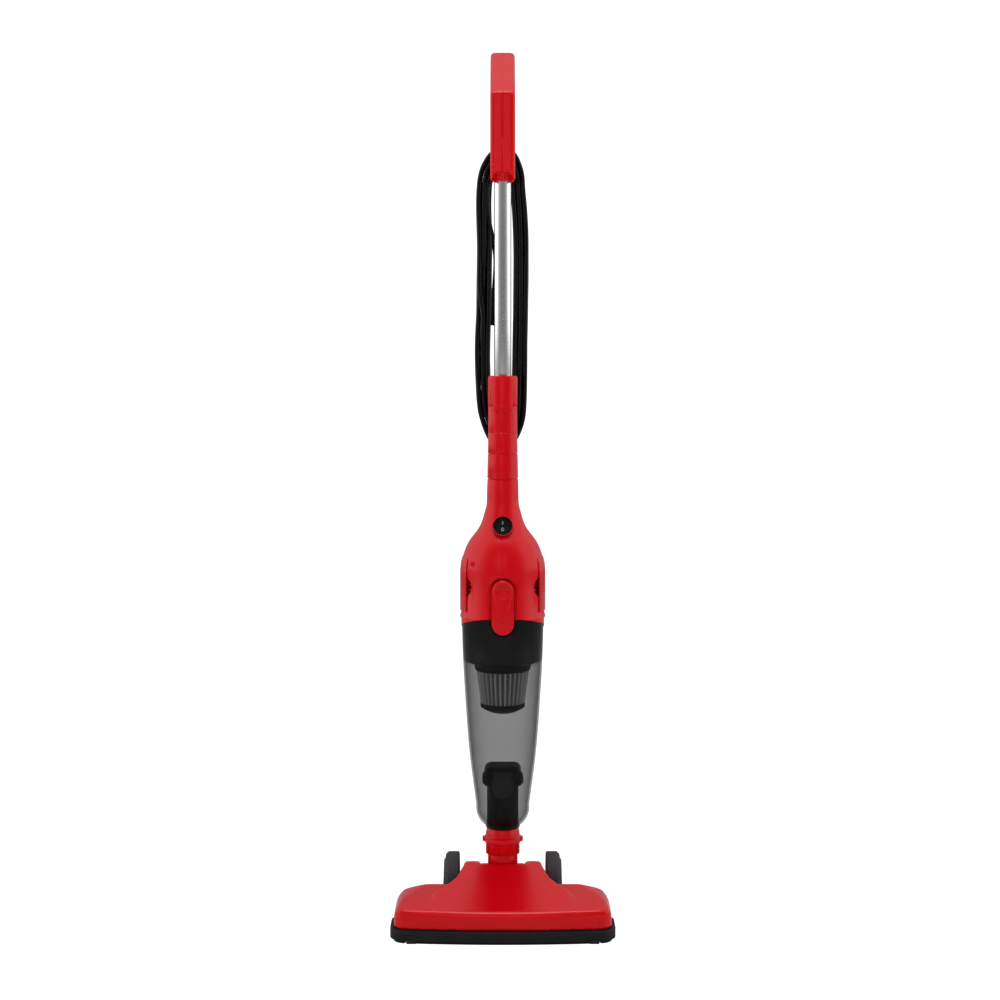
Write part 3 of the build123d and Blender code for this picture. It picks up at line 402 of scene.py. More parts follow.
def with_soft_edges(piece, edge, crisp_deg=40.0, segments=2):
    """Rounds every edge that is sharper than the angle, by the edge's width in metres."""
    chosen(piece)
    bevel = piece.modifiers.new("soft_edges", "BEVEL")
    bevel.width, bevel.segments = edge, segments
    bevel.limit_method, bevel.angle_limit = "ANGLE", math.radians(crisp_deg)
    bevel.use_clamp_overlap = True
    bpy.ops.object.modifier_apply(modifier=bevel.name)


def merged_copy(node, name):
    """A node's CAD mesh under a new name, with its shared corners joined up."""
    piece = bpy.data.objects.new(name, frame["nodes"][node].data.copy())
    bpy.context.scene.collection.objects.link(piece)
    chosen(piece)
    if piece.data.has_custom_normals:
        bpy.ops.mesh.customdata_custom_splitnormals_clear()
    bpy.ops.object.mode_set(mode="EDIT")
    bpy.ops.mesh.select_all(action="SELECT")
    bpy.ops.mesh.remove_doubles(threshold=2e-6)
    bpy.ops.mesh.dissolve_limited(angle_limit=math.radians(0.5), use_dissolve_boundaries=False)
    bpy.ops.object.mode_set(mode="OBJECT")
    return piece


def smoothed(piece, angle_deg=38.0):
    """Shades the piece smoothly, with a crease where it turns by more than the angle."""
    chosen(piece)
    bpy.ops.object.shade_smooth_by_angle(angle=math.radians(angle_deg))


def added(piece, finish, node):
    """A new piece takes the finish and rides with the body of a node."""
    painted(piece, finish)
    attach(piece, frame["nodes"][node]["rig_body"])


def joined_to_frame(piece, finish, node):
    """The piece rides where its CAD node does and stands for it, and the node is hidden."""
    added(piece, finish, node)
    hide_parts(node)


def made(node, name, finish, edge=0.0004):
    """The usual way: a merged copy with soft edges in place of its CAD node."""
    piece = merged_copy(node, name)
    if edge:
        with_soft_edges(piece, edge)
    smoothed(piece)
    joined_to_frame(piece, finish, node)
    return piece


def shaped_sheet(name, across, along, shape):
    """A grid of faces, with each corner moved to where shape(column, row) puts it."""
    deselect()
    bpy.ops.mesh.primitive_grid_add(x_subdivisions=across, y_subdivisions=along, size=1.0)
    piece = bpy.context.object
    piece.name = name
    for vert in piece.data.vertices:
        column, row = round((vert.co.x + 0.5) * across), round((vert.co.y + 0.5) * along)
        vert.co = shape(column, row)
    return piece


def thickened(piece, wall, offset):
    """Gives a sheet its wall: both ways with offset 0, and behind its face with -1."""
    chosen(piece)
    solid = piece.modifiers.new("wall", "SOLIDIFY")
    solid.thickness, solid.offset = wall, offset
    bpy.ops.object.modifier_apply(modifier=solid.name)


# ---------------------------------------------------------------- plug
# A moulded two-pin plug on the cord's free end: a black body with finger ribs and a pair of
# turned brass pins. Its boot takes the cord.
black_finish = Finish("satin_black_plastic", Base_Color=(0.012, 0.012, 0.013, 1), Roughness=0.4)
black_finish.shader.inputs["Specular IOR Level"].default_value = 0.3
black_grain = black_finish.noise(2600, 2)
black_finish.link("Base Color", black_finish.mixed(
    (0.004, 0.004, 0.0044, 1), (0.008, 0.0076, 0.0083, 1), black_finish.noise(60, 4)))
black_finish.link("Roughness", 0.36 + black_grain * 0.14)
black_finish.raised(black_grain, 0.00003, 0.6)

brass_finish = Finish("turned_brass", Base_Color=(0.62, 0.44, 0.17, 1), Metallic=1.0, Roughness=0.24)
brass_rings = brass_finish.noise(1500, 2, (0.2, 0.2, 3.0))
brass_finish.link("Roughness", 0.18 + brass_rings * 0.16)
brass_finish.link("Base Color", brass_finish.mixed(
    (0.52, 0.36, 0.13, 1), (0.68, 0.50, 0.20, 1), brass_finish.noise(90, 3)))

plug = made("plug_body", "plug_moulding", black_finish, 0.0004)
pins = made("plug_pins", "plug_pin_pair", brass_finish, 0.0004)
plug_way = (Vector(tail_points[-1]) - Vector(tail_points[-2])).normalized()
plug_side = (Vector((1, 0, 0)) - plug_way * plug_way.x).normalized()
plug_turn = Matrix((plug_side, plug_way.cross(plug_side), plug_way)).transposed().to_4x4()
plug_start = Vector(tail_points[-1]) + Vector((0, axis_y, 0))
plug_rib_count = 4
first_rib, rib_pitch = 0.0265, 0.0036    # along the plug, from where the cord ends
for i in range(plug_rib_count):
    deselect()
    bpy.ops.mesh.primitive_cube_add(size=1.0)
    rib = bpy.context.object
    rib.name = f"plug_rib_{i + 1}"
    rib.dimensions = (0.0268, 0.0142, 0.0014)
    bpy.ops.object.transform_apply()
    with_soft_edges(rib, 0.0006, 40, 2)
    along_plug = Matrix.Translation((0, 0, first_rib + rib_pitch * i))
    rib.data.transform(Matrix.Translation(plug_start) @ plug_turn @ along_plug)
    smoothed(rib)
    added(rib, black_finish, "plug_body")

# ---------------------------------------------------------------- strain relief
# A soft rubber sleeve tapers from the body shell onto the cord and keeps it from
# kinking. It is matt and finely grained.
rubber_finish = Finish("soft_rubber", Base_Color=(0.014, 0.014, 0.0145, 1), Roughness=0.62)
rubber_finish.shader.inputs["Specular IOR Level"].default_value = 0.3
rubber_grain = rubber_finish.noise(1600, 3)
rubber_finish.link("Roughness", 0.55 + rubber_grain * 0.2)
rubber_finish.link("Base Color", rubber_finish.mixed(
    (0.011, 0.011, 0.0115, 1), (0.022, 0.0215, 0.022, 1), rubber_finish.noise(40, 4)))
rubber_finish.raised(rubber_grain, 0.00005, 0.7)
made("strain_relief", "cord_sleeve", rubber_finish, 0.0004)

# ---------------------------------------------------------------- floor head
# A glossy red cover over a black base tray, with a soft bumper strip between them. The
# cover's creases are rounded as one moulding, but its lower rim stays where it is.
red_finish = Finish("glossy_red_plastic", Base_Color=(0.62, 0.0008, 0.008, 1), Roughness=0.24)
red_finish.shader.inputs["Specular IOR Level"].default_value = 0.34
red_finish.shader.inputs["Coat Weight"].default_value = 0.12
red_finish.shader.inputs["Coat Roughness"].default_value = 0.06
red_tone = red_finish.noise(9, 3)
red_finish.link("Base Color", red_finish.mixed((0.58, 0.0005, 0.006, 1), (0.66, 0.0010, 0.010, 1), red_tone))
red_peel = red_finish.noise(420, 2)
red_finish.link("Roughness", 0.20 + red_finish.noise(130, 3) * 0.10)
red_finish.raised(red_peel, 0.00004, 0.35)


def mould_rounded(piece, grain, passes, held_still):
    """Remeshes a piece evenly and rounds its creases, except where held_still gives 1."""
    chosen(piece)
    even = piece.modifiers.new("even", "REMESH")
    even.mode, even.voxel_size = "VOXEL", grain
    bpy.ops.object.modifier_apply(modifier=even.name)
    group = piece.vertex_groups.new(name="rounded")
    for vert in piece.data.vertices:
        group.add([vert.index], 1 - min(1.0, max(0.0, held_still(vert.co))), "REPLACE")
    soften = piece.modifiers.new("soften", "SMOOTH")
    soften.factor, soften.iterations, soften.vertex_group = 0.5, passes, group.name
    bpy.ops.object.modifier_apply(modifier=soften.name)
    piece.vertex_groups.clear()
    smoothed(piece, 50)


hood = merged_copy("nozzle_cover", "nozzle_hood")
rim_top_z, rim_soft = 0.031, 0.005
mould_rounded(hood, 0.0015, 60, lambda co: (rim_top_z - co.z) / rim_soft)
joined_to_frame(hood, red_finish, "nozzle_cover")
made("base_plate", "nozzle_tray", black_finish, 0.0008)
made("bumper_strip", "nozzle_bumper", rubber_finish, 0.0006)
made("air_duct", "nozzle_duct", black_finish, 0.0004)
made("pivot_blocks", "tilt_bearings", black_finish, 0.0004)

# ---------------------------------------------------------------- brush strips
# Two rows of short nylon tufts beside the suction slot, set in thin strips. Each tuft
# leans a little its own way.
bristle_finish = Finish("nylon_bristle", Base_Color=(0.02, 0.02, 0.02, 1), Roughness=0.5)
bristle_finish.link("Base Color", bristle_finish.mixed(
    (0.012, 0.012, 0.012, 1), (0.05, 0.048, 0.046, 1), bristle_finish.noise(700, 2)))
strip_low, strip_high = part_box("brush_strips")
tuft_pitch, tuft_r = 0.0040, 0.0015
strip_wide, strip_thick, end_room = 0.003, 0.0032, 0.003
rows_y = (strip_low.y + strip_wide / 2, strip_high.y - strip_wide / 2)
deselect()
bpy.ops.mesh.primitive_cone_add(
    vertices=6, radius1=tuft_r * 1.15, radius2=tuft_r * 0.7,
    depth=strip_high.z - strip_low.z - strip_thick, end_fill_type="NGON",
    location=(0, 0, (strip_high.z + strip_low.z) / 2 - strip_thick / 2))
tuft = bpy.context.object
bpy.ops.object.transform_apply()
with_soft_edges(tuft, 0.0002, 60, 1)
count = int((strip_high.x - strip_low.x - 2 * end_room) / tuft_pitch)
brush_mesh = bmesh.new()
for row_y in rows_y:
    for i in range(count + 1):
        x = strip_low.x + end_room + i * tuft_pitch
        before = len(brush_mesh.verts)
        brush_mesh.from_mesh(tuft.data)
        brush_mesh.verts.ensure_lookup_table()
        lean = 0.0004 * math.sin(i * 2.4)
        for vert in brush_mesh.verts[before:]:
            down = (strip_high.z - vert.co.z) / (strip_high.z - strip_low.z)
            vert.co += Vector((x + lean * down, row_y, 0))
    bmesh.ops.create_cube(brush_mesh, size=1.0, matrix=Matrix.Translation(
        ((strip_low.x + strip_high.x) / 2, row_y, strip_high.z - strip_thick / 2)) @ Matrix.Diagonal(
        (strip_high.x - strip_low.x, strip_wide, strip_thick, 1)))
bpy.data.objects.remove(tuft)
brush_data = bpy.data.meshes.new("bristle_rows")
brush_mesh.to_mesh(brush_data)
brush_mesh.free()
bristles = bpy.data.objects.new("bristle_rows", brush_data)
bpy.context.scene.collection.objects.link(bristles)
joined_to_frame(bristles, bristle_finish, "brush_strips")

# ---------------------------------------------------------------- steel hardware
# Zinc-plated axles, pins, screws and clips. The screws of the body shells are blackened,
# and the lever's spring keeps its CAD mesh.
steel_finish = Finish("zinc_steel", Base_Color=(0.55, 0.55, 0.57, 1), Metallic=1.0, Roughness=0.32)
steel_marks = steel_finish.noise(1400, 3, (1.0, 0.15, 1.0))
steel_finish.link("Roughness", 0.24 + steel_marks * 0.22)
steel_finish.link("Base Color", steel_finish.mixed(
    (0.46, 0.46, 0.49, 1), (0.64, 0.64, 0.66, 1), steel_finish.noise(55, 4)))
made("wheel_axles", "rear_axles", steel_finish, 0.0003)
made("roller_pins", "roller_axles", steel_finish, 0.0002)
made("base_screws", "tray_screws", steel_finish, 0.0002)
made("swivel_clip", "neck_clip", steel_finish, 0.0002)
dark_steel_finish = Finish("blackened_steel", Base_Color=(0.02, 0.02, 0.02, 1), Metallic=1.0, Roughness=0.4)
dark_steel_finish.link("Roughness", 0.34 + dark_steel_finish.noise(900, 3) * 0.2)
dark_steel_finish.link("Base Color", dark_steel_finish.mixed(
    (0.015, 0.012, 0.012, 1), (0.05, 0.045, 0.045, 1), dark_steel_finish.noise(300, 4)))
made("shell_screws", "body_screws", dark_steel_finish, 0.0003)
made("flap_pin", "flap_hinge_pin", steel_finish, 0)
made("lever_pin", "lever_hinge_pin", steel_finish, 0)
painted(frame["nodes"]["lever_spring"], steel_finish)
made("motor_shaft", "motor_spindle", steel_finish, 0.0002)

# ---------------------------------------------------------------- wheels
# Grey grained wheels with soft tyres at the back, and two small grained rollers in front.
# Each wheel's outer face has two moulded rings with six ribs between them.
wheel_finish = Finish("grained_grey_plastic", Base_Color=(0.05, 0.04, 0.047, 1), Roughness=0.5)
wheel_grain = wheel_finish.noise(1300, 3)
wheel_finish.link("Roughness", 0.44 + wheel_grain * 0.18)
wheel_finish.link("Base Color", wheel_finish.mixed(
    (0.040, 0.033, 0.038, 1), (0.062, 0.051, 0.059, 1), wheel_finish.noise(45, 4)))
wheel_finish.raised(wheel_grain, 0.00008, 0.8)
tyre_finish = Finish("tyre_rubber", Base_Color=(0.030, 0.025, 0.029, 1), Roughness=0.6)
tyre_grain = tyre_finish.noise(1100, 3)
tyre_finish.link("Roughness", 0.54 + tyre_grain * 0.2)
tyre_finish.link("Base Color", tyre_finish.mixed(
    (0.022, 0.019, 0.021, 1), (0.048, 0.041, 0.046, 1), tyre_finish.noise(38, 4)))
tyre_finish.raised(tyre_grain, 0.00008, 0.7)
ring_radii, ring_half_thick = (0.0125, 0.0300), 0.0009
rib_middle_r, rib_proud, rib_wide, rib_long = 0.02125, 0.0016, 0.0022, 0.0170
rib_count = 6
for side in ("left", "right"):
    made(f"wheel_{side}", f"rear_wheel_disc_{side}", wheel_finish, 0.0005)
    made(f"tyre_{side}", f"rear_wheel_tread_{side}", tyre_finish, 0.0005)
    made(f"front_roller_{side}", f"front_roller_drum_{side}", wheel_finish, 0.0004)
    wheel_low, wheel_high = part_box(f"wheel_{side}")
    face_x = wheel_low.x if side == "left" else wheel_high.x
    hub = Vector((face_x, (wheel_low.y + wheel_high.y) / 2, (wheel_low.z + wheel_high.z) / 2))
    for ring_r in ring_radii:
        deselect()
        bpy.ops.mesh.primitive_torus_add(
            major_radius=ring_r, minor_radius=ring_half_thick, major_segments=96, minor_segments=12,
            location=hub, rotation=(0, math.radians(90), 0))
        wheel_ring = bpy.context.object
        wheel_ring.name = f"wheel_ring_{side}_{round(ring_r * 1000)}"
        bpy.ops.object.transform_apply()
        smoothed(wheel_ring, 60)
        added(wheel_ring, wheel_finish, f"wheel_{side}")
    for i in range(rib_count):
        deselect()
        bpy.ops.mesh.primitive_cube_add(size=1.0, location=(0, 0, rib_middle_r))
        wheel_rib = bpy.context.object
        wheel_rib.name = f"wheel_rib_{side}_{i + 1}"
        wheel_rib.dimensions = (rib_proud, rib_wide, rib_long)
        bpy.ops.object.transform_apply()
        with_soft_edges(wheel_rib, 0.0005, 40, 2)
        turned = Matrix.Rotation(math.radians(360 / rib_count * i), 4, "X")
        wheel_rib.data.transform(Matrix.Translation(hub) @ turned)
        smoothed(wheel_rib)
        added(wheel_rib, wheel_finish, f"wheel_{side}")

# ---------------------------------------------------------------- tilting barrel and swivel neck
# The red barrel rocks between the bearings, and the red neck sleeve turns on its pipe.
made("tilt_barrel", "tilt_barrel_moulding", red_finish, 0.0005)
made("neck_sleeve", "neck_sleeve_moulding", red_finish, 0.0005)
made("neck_seal", "neck_ring", rubber_finish, 0)

# ---------------------------------------------------------------- dust cup
# A clear smoke-tinted cup that tapers to the inlet. One wall is about as dark as a
# light sunglass lens. It is denser where it is seen edge on, and above the skirt's foot.
smoke_finish = Finish("smoke_clear_plastic", Base_Color=(0.018, 0.018, 0.019, 1), Roughness=0.07, IOR=1.49)
edge_on = smoke_finish.add("ShaderNodeLayerWeight", None, {"Blend": 0.35})
facing = Amount(smoke_finish, edge_on.outputs["Facing"])
smoke_finish.shader.inputs["Specular IOR Level"].default_value = 0.25
cup_z = smoke_finish.across()[2]
wall_tint, edge_tint, top_tint = 0.325, 0.6, 0.35
skirt_foot_z, skirt_soft = 0.331, 0.006
smoke_finish.link("Alpha", (
    wall_tint + facing * facing * edge_tint + cup_z.clear_of(skirt_foot_z, skirt_soft) * top_tint).held())
smoke_finish.link("Roughness", 0.05 + smoke_finish.noise(60, 3) * 0.05)
made("dust_cup", "clear_cup", smoke_finish, 0)
made("inlet_duct", "cup_inlet", black_finish, 0.0006)
flap_finish = Finish("flap_rubber", Base_Color=(0.035, 0.035, 0.036, 1), Roughness=0.5)
flap_finish.link("Roughness", 0.42 + flap_finish.noise(1200, 3) * 0.2)
flap_finish.link("Base Color", flap_finish.mixed(
    (0.040, 0.040, 0.041, 1), (0.060, 0.060, 0.061, 1), flap_finish.noise(120, 4)))
made("inlet_flap", "inlet_flap_disc", flap_finish, 0.0004)

# ---------------------------------------------------------------- filter
# A pleated paper filter between a black cap and a black frame. Shade is painted into the
# paper, darker deep in its folds, and the pleats widen upwards.
paper_finish = Finish("filter_paper", Base_Color=(0.42, 0.42, 0.40, 1), Roughness=0.9)
paper_x, paper_y, paper_z = paper_finish.across()
paper_r = (paper_x * paper_x + (paper_y - axis_y) * (paper_y - axis_y)) ** 0.5
pleat_foot_z, pleat_height = 0.276, 0.042
valley_r, valley_flare = 0.0245, 0.0050
pleat_deep, deeper_on_top = 0.0035, 0.0010
up_pleat = ((paper_z - pleat_foot_z) / pleat_height).held()
# Painted shade mask: 0 deep in a fold and 1 at a pleat's outer edge.
fold_shade_mask = ((paper_r - valley_r - up_pleat * valley_flare) / (pleat_deep + up_pleat * deeper_on_top)).held()
paper_stain = paper_finish.noise(300, 5)
# Painted shade: dark grey deep in the folds and near white on the pleats' edges, varied by stains.
paper_finish.link("Base Color", paper_finish.mixed(
    (0.22, 0.22, 0.215, 1), (0.95, 0.95, 0.93, 1), (fold_shade_mask ** 1.4) * (0.75 + 0.35 * paper_stain)))
paper_finish.raised(paper_finish.noise(1800, 4), 0.0001, 0.8)
made("filter_pleats", "pleated_paper", paper_finish, 0)
made("filter_frame", "filter_ring", black_finish, 0.0004)
made("filter_cap", "filter_bowl", black_finish, 0.0005)

# ---------------------------------------------------------------- motor
# A series motor on a black bulkhead: a field and a rotor of stacked iron sheets, a
# pressed alloy fan and two carbon brushes, held between soft seals.
iron_finish = Finish("laminated_iron", Base_Color=(0.2, 0.19, 0.18, 1), Metallic=0.8, Roughness=0.45)
iron_z = iron_finish.across()[2]
sheet_wave = 6283.0                   # one iron sheet to a millimetre
laminations = (iron_z * sheet_wave).wave() * 0.5 + 0.5
iron_finish.link("Base Color", iron_finish.mixed(
    (0.10, 0.095, 0.09, 1), (0.30, 0.285, 0.27, 1), laminations))
iron_finish.link("Roughness", 0.38 + laminations * 0.2)
alloy_finish = Finish("pressed_alloy", Base_Color=(0.7, 0.7, 0.71, 1), Metallic=1.0, Roughness=0.3)
alloy_finish.link("Roughness", 0.24 + alloy_finish.noise(600, 3) * 0.18)
alloy_finish.link("Base Color", alloy_finish.mixed(
    (0.60, 0.60, 0.61, 1), (0.78, 0.78, 0.79, 1), alloy_finish.noise(80, 3)))
carbon_finish = Finish("pressed_graphite", Base_Color=(0.03, 0.03, 0.031, 1), Roughness=0.55)
carbon_finish.link("Base Color", carbon_finish.mixed(
    (0.02, 0.02, 0.02, 1), (0.06, 0.06, 0.062, 1), carbon_finish.noise(900, 4)))
made("motor_bulkhead", "motor_bulkhead_moulding", black_finish, 0.0004)
made("fan_shroud", "fan_housing", black_finish, 0.0004)
for node, name, finish in (
        ("cup_seal", "cup_gasket", rubber_finish), ("motor_seal", "motor_gasket", rubber_finish),
        ("rear_mount", "motor_rear_mount", rubber_finish), ("motor_stator", "motor_field_stack", iron_finish),
        ("armature", "motor_rotor_stack", iron_finish), ("fan_impeller", "fan_wheel", alloy_finish),
        ("carbon_brushes", "motor_carbons", carbon_finish)):
    made(node, name, finish, 0.0002)

# ---------------------------------------------------------------- body shells
# Two glossy red half shells meet on the centre line. The slim neck has three shallow
# grooves, and the sides have vent windows with grilles and gauze behind the bands, in a darker
# red that is partly their own colour and partly painted shade inside the windows.
groove_heights = (0.6215, 0.5945, 0.5625)
neck_r, groove_out, groove_round = 0.0188, 0.0006, 0.001


def with_grooves(piece):
    """Cuts the shallow grooves round the neck."""
    for height in groove_heights:
        deselect()
        bpy.ops.mesh.primitive_torus_add(
            major_radius=neck_r + groove_out, minor_radius=groove_round,
            major_segments=128, minor_segments=12, location=(0, axis_y, height))
        ring = bpy.context.object
        bpy.ops.object.transform_apply()
        cut = piece.modifiers.new("groove", "BOOLEAN")
        cut.operation, cut.solver, cut.object = "DIFFERENCE", "EXACT", ring
        chosen(piece)
        bpy.ops.object.modifier_apply(modifier=cut.name)
        bpy.data.objects.remove(ring)


for side in ("left", "right"):
    shell = merged_copy(f"body_{side}", f"body_shell_{side}")
    with_grooves(shell)
    with_soft_edges(shell, 0.0008)
    smoothed(shell)
    joined_to_frame(shell, red_finish, f"body_{side}")
# A darker copy of the red: partly the grilles' and the bezel's own deeper red, partly painted shade inside
# the vent windows and round the switch.
deep_red_and_shade_finish = Finish("deep_red_and_shade_plastic", Base_Color=(0.26, 0.002, 0.006, 1), Roughness=0.3)
deep_red_and_shade_finish.link("Base Color", deep_red_and_shade_finish.mixed(
    (0.30, 0.001, 0.005, 1), (0.38, 0.002, 0.008, 1), deep_red_and_shade_finish.noise(30, 3)))
deep_red_and_shade_finish.link("Roughness", 0.26 + deep_red_and_shade_finish.noise(200, 3) * 0.1)
made("vent_grilles", "vent_grille_pair", deep_red_and_shade_finish, 0.0003)
made("side_bands", "side_band_pair", red_finish, 0.0004)
# The gauze's dark red is partly painted shade inside the vent windows; the threads are its weave.
gauze_finish = Finish("woven_gauze", Base_Color=(0.19, 0.003, 0.007, 1), Roughness=0.8)
gauze_y, gauze_z = gauze_finish.across()[1:]
thread_wave = 5200.0                  # a thread every 1.2 mm
threads = ((gauze_y * thread_wave).wave() * (gauze_z * thread_wave).wave()) * 0.5 + 0.5
gauze_finish.link("Base Color", gauze_finish.mixed((0.12, 0.002, 0.005, 1), (0.26, 0.004, 0.010, 1), threads))
gauze_finish.raised(threads, 0.0002, 0.8)
gauze_r, gauze_half_deg, gauze_columns = 0.0478, 43, 24
gauze_heights = (0.404, 0.418, 0.434, 0.4505)


def gauze_face(side, column, row):
    angle = math.radians(-gauze_half_deg + 2 * gauze_half_deg * column / gauze_columns)
    return (side * gauze_r * math.cos(angle), gauze_r * math.sin(angle) + axis_y, gauze_heights[row])


for side, name in ((-1, "vent_gauze_left"), (1, "vent_gauze_right")):
    gauze = shaped_sheet(
        name, gauze_columns, len(gauze_heights) - 1, lambda column, row: gauze_face(side, column, row))
    thickened(gauze, 0.0003, 0)
    smoothed(gauze, 60)
    added(gauze, gauze_finish, "vent_grilles")

# ---------------------------------------------------------------- switch
# A round red bezel holds a black rocker with the usual on and off marks printed in white.
# The switch leans back with the body's shoulder, and thin rims run round its rings.
# The bezel takes the darker red, partly painted shade round the rocker.
bezel = made("switch_bezel", "switch_ring", deep_red_and_shade_finish, 0.0006)
housing = made("switch_housing", "switch_body", black_finish, 0.0003)
rocker = made("rocker_button", "rocker_cap", black_finish, 0.0005)
print_finish = Finish("white_print", Base_Color=(0.8, 0.8, 0.8, 1), Roughness=0.5)
print_finish.link("Base Color", print_finish.mixed(
    (0.74, 0.74, 0.74, 1), (0.84, 0.84, 0.84, 1), print_finish.noise(900, 2)))
switch_origin = Vector((0, -0.034 + axis_y, 0.505))
switch_lean = math.radians(25)
switch_out = Vector((0, -math.cos(switch_lean), math.sin(switch_lean)))
switch_up = Vector((0, math.sin(switch_lean), math.cos(switch_lean)))
ink_thick = 0.00012


def surface_of(piece):
    """The piece's faces, to be met by a straight line."""
    corners = [vert.co.copy() for vert in piece.data.vertices]
    return BVHTree.FromPolygons(corners, [list(face.vertices) for face in piece.data.polygons])


def pressed_on(piece, face, lift):
    """Presses a flat ring or mark, drawn in the switch's plane, onto a face."""
    from_above = switch_out * 0.02
    for vert in piece.data.vertices:
        x, z, height = vert.co
        start = switch_origin + Vector((x, 0, 0)) + switch_up * z + from_above
        hit = face.ray_cast(start, -switch_out)[0] or start - from_above
        vert.co = hit + switch_out * (height + lift)


for name, ring_r, ring_thick, finish, under, node in (
        ("bezel_rim", 0.0129, 0.0006, red_finish, bezel, "switch_bezel"),
        ("housing_rim", 0.0112, 0.0004, black_finish, housing, "switch_housing")):
    deselect()
    bpy.ops.mesh.primitive_torus_add(
        major_radius=ring_r, minor_radius=ring_thick, major_segments=96, minor_segments=12)
    rim = bpy.context.object
    rim.name = name
    pressed_on(rim, surface_of(under), 0.0001)
    smoothed(rim)
    added(rim, finish, node)
deselect()
bpy.ops.mesh.primitive_cube_add(size=1.0)
bar = bpy.context.object
bar.name = "on_mark"
bar.scale = (0.0006, 0.0036, 2 * ink_thick)
bar.location = (0, 0.0042, ink_thick / 2)
bpy.ops.object.transform_apply(location=True, rotation=True, scale=True)
deselect()
bpy.ops.mesh.primitive_torus_add(
    major_radius=0.0018, minor_radius=0.00030, major_segments=40, minor_segments=8,
    location=(0, -0.0040, 0))
ring = bpy.context.object
ring.name = "off_mark"
ring.scale = (0.85, 1.1, 2 * ink_thick / 0.0006)
bpy.ops.object.transform_apply(location=True, rotation=True, scale=True)
for mark in (bar, ring):
    pressed_on(mark, surface_of(rocker), -ink_thick / 2)
    smoothed(mark)
    painted(mark, print_finish)
    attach(mark, "rocker")

# ---------------------------------------------------------------- release lever
# A red thumb lever on a steel pin. Its face carries a raised tongue that narrows downwards
# from a dished thumb pad.
made("release_lever", "release_lever_moulding", red_finish, 0.0014)
made("lever_bracket", "lever_carrier", red_finish, 0.0003)
lever_r = 0.056                       # the lever's outer face is part of a cylinder
tongue_low, tongue_high = 0.3860, 0.4384
pad_z, pad_half, tip_half = 0.4256, 0.0128, 0.0054
taper_from, taper_over = 0.004, 0.030    # where the tongue starts to widen, and how slowly
lip_rise, lip_wide, sunk = 0.0030, 0.0018, 0.0005
dish_r, dish_deep = 0.0102, 0.0036
least_half = 0.001                    # the share of its width that an end keeps
tongue_columns, tongue_rows = 32, 48


def tongue_face(column, row):
    """A point of the tongue's face: rounded ends, a raised lip and the thumb dish."""
    share = row / tongue_rows
    z = tongue_low + (tongue_high - tongue_low) * share
    widened = min(1.0, max(0.0, (z - tongue_low - taper_from) / taper_over)) ** 1.1
    half = tip_half + (pad_half - tip_half) * widened
    from_end = min(z - tongue_low, tongue_high - z)
    end_r = tip_half if share < 0.5 else pad_half
    if from_end < end_r:
        half *= math.sqrt(max(0.0, 1 - (1 - from_end / end_r) ** 2)) * (1 - least_half) + least_half
    x = half * (column / (tongue_columns / 2) - 1)
    inset = min(half - abs(x), from_end)
    lift = lip_rise * math.sin(min(1.0, inset / lip_wide) * math.pi / 2) - sunk
    dish = max(0.0, 1 - (x * x + (z - pad_z) ** 2) / dish_r ** 2)
    y = -math.sqrt(lever_r ** 2 - x * x) - lift + dish_deep * dish ** 0.8
    return (x, y + axis_y, z)


tongue = shaped_sheet("lever_tongue", tongue_columns, tongue_rows, tongue_face)
thickened(tongue, 0.0006, -1)
smoothed(tongue, 60)
added(tongue, red_finish, "release_lever")

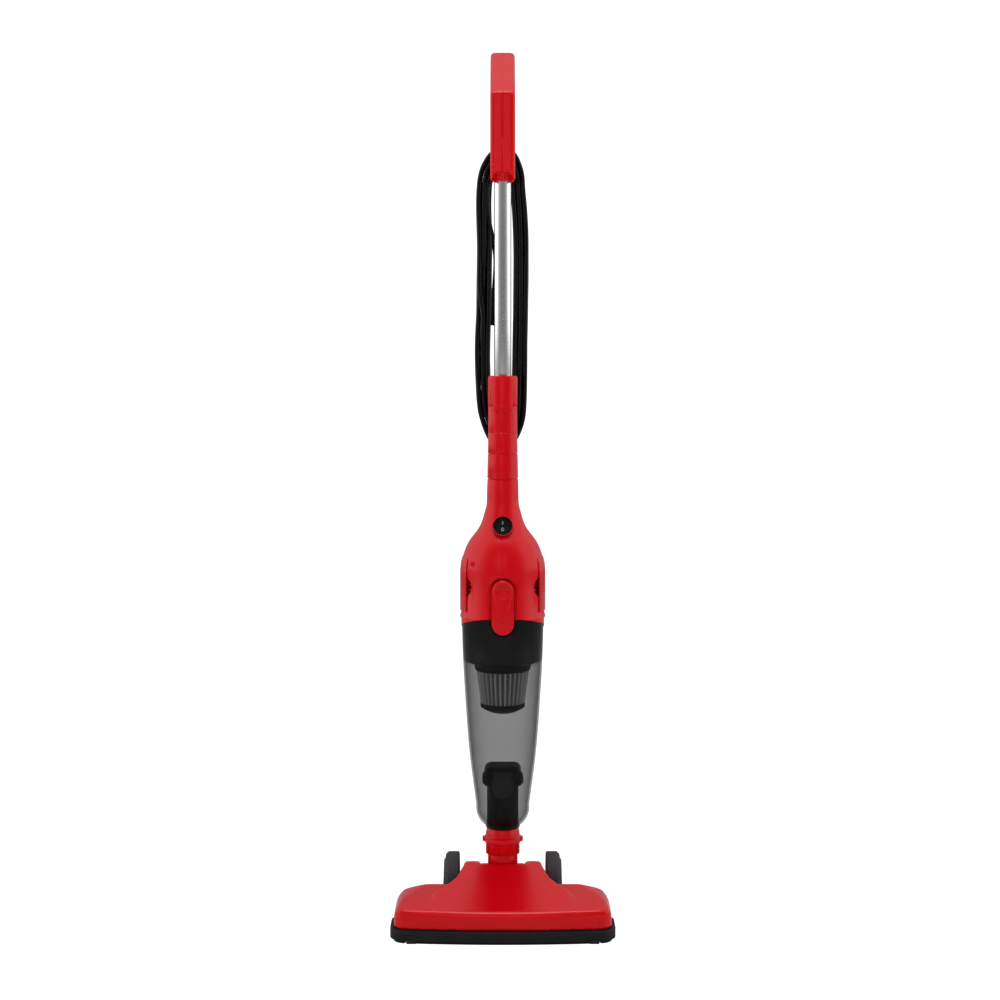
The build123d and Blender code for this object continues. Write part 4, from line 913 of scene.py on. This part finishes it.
# ---------------------------------------------------------------- ledge round the lever
# A shallow red ledge closes most of the slot round the lever. It runs up one side, round
# the top in a half circle and down the other side.
ledge_r, ledge_in, ledge_middle, ledge_out = 0.0508, 0.0147, 0.0160, 0.0173
arc_z, ledge_foot = 0.4262, 0.3880
side_steps, arc_steps = 12, 32
side_heights = [ledge_foot + (arc_z - ledge_foot) * i / side_steps for i in range(side_steps)]
arc_turns = [math.pi * i / arc_steps for i in range(arc_steps + 1)]
ledge_line = [(-1, 0, height) for height in side_heights]
ledge_line += [(-math.cos(turn), math.sin(turn), arc_z) for turn in arc_turns]
ledge_line += [(1, 0, height) for height in reversed(side_heights)]


def ledge_face(column, row):
    across, up, base_z = ledge_line[row]
    half = (ledge_in, ledge_middle, ledge_out)[column]
    x = across * half
    return (x, -math.sqrt(ledge_r ** 2 - x * x) + axis_y, base_z + up * half)


ledge = shaped_sheet("lever_ledge", 2, len(ledge_line) - 1, ledge_face)
thickened(ledge, 0.0012, 0)
smoothed(ledge, 50)
added(ledge, red_finish, "body_left")

# ---------------------------------------------------------------- hooks
# Two black hooks carry the wound cord behind the wand. They are moulded in the same
# satin black plastic as the plug.
made("lower_hook", "cord_hook_low", black_finish, 0.0006)
made("upper_hook", "cord_hook_high", black_finish, 0.0006)

# ---------------------------------------------------------------- wand
# A satin chrome steel tube in a red adapter. Faint drawing lines run along the tube.
# They only change how sharply it mirrors.
chrome_finish = Finish("satin_chrome", Base_Color=(0.88, 0.88, 0.89, 1), Metallic=1.0, Roughness=0.25)
chrome_lines = chrome_finish.noise(900, 2, (1.0, 1.0, 0.02))
chrome_finish.link("Roughness", 0.22 + chrome_lines * 0.06)
chrome_finish.link("Base Color", chrome_finish.mixed(
    (0.85, 0.85, 0.86, 1), (0.91, 0.91, 0.92, 1), chrome_finish.noise(40, 3)))
made("wand_tube", "chrome_wand", chrome_finish, 0.0003)
made("wand_adapter", "wand_socket", red_finish, 0.0005)

# ---------------------------------------------------------------- handle
# A glossy red loop handle in two halves, clamped on the tube. Its creases are rounded
# away from the joint line and above the foot, which stay in place.
joint_half, joint_soft = 0.0052, 0.004
foot_top_z, foot_soft = 0.99, 0.02


def joint_or_foot(co):
    return max((joint_half - abs(co.x)) / joint_soft, (foot_top_z - co.z) / foot_soft)


for side in ("left", "right"):
    grip = merged_copy(f"handle_{side}", f"handle_half_{side}")
    mould_rounded(grip, 0.0012, 14, joint_or_foot)
    joined_to_frame(grip, red_finish, f"handle_{side}")
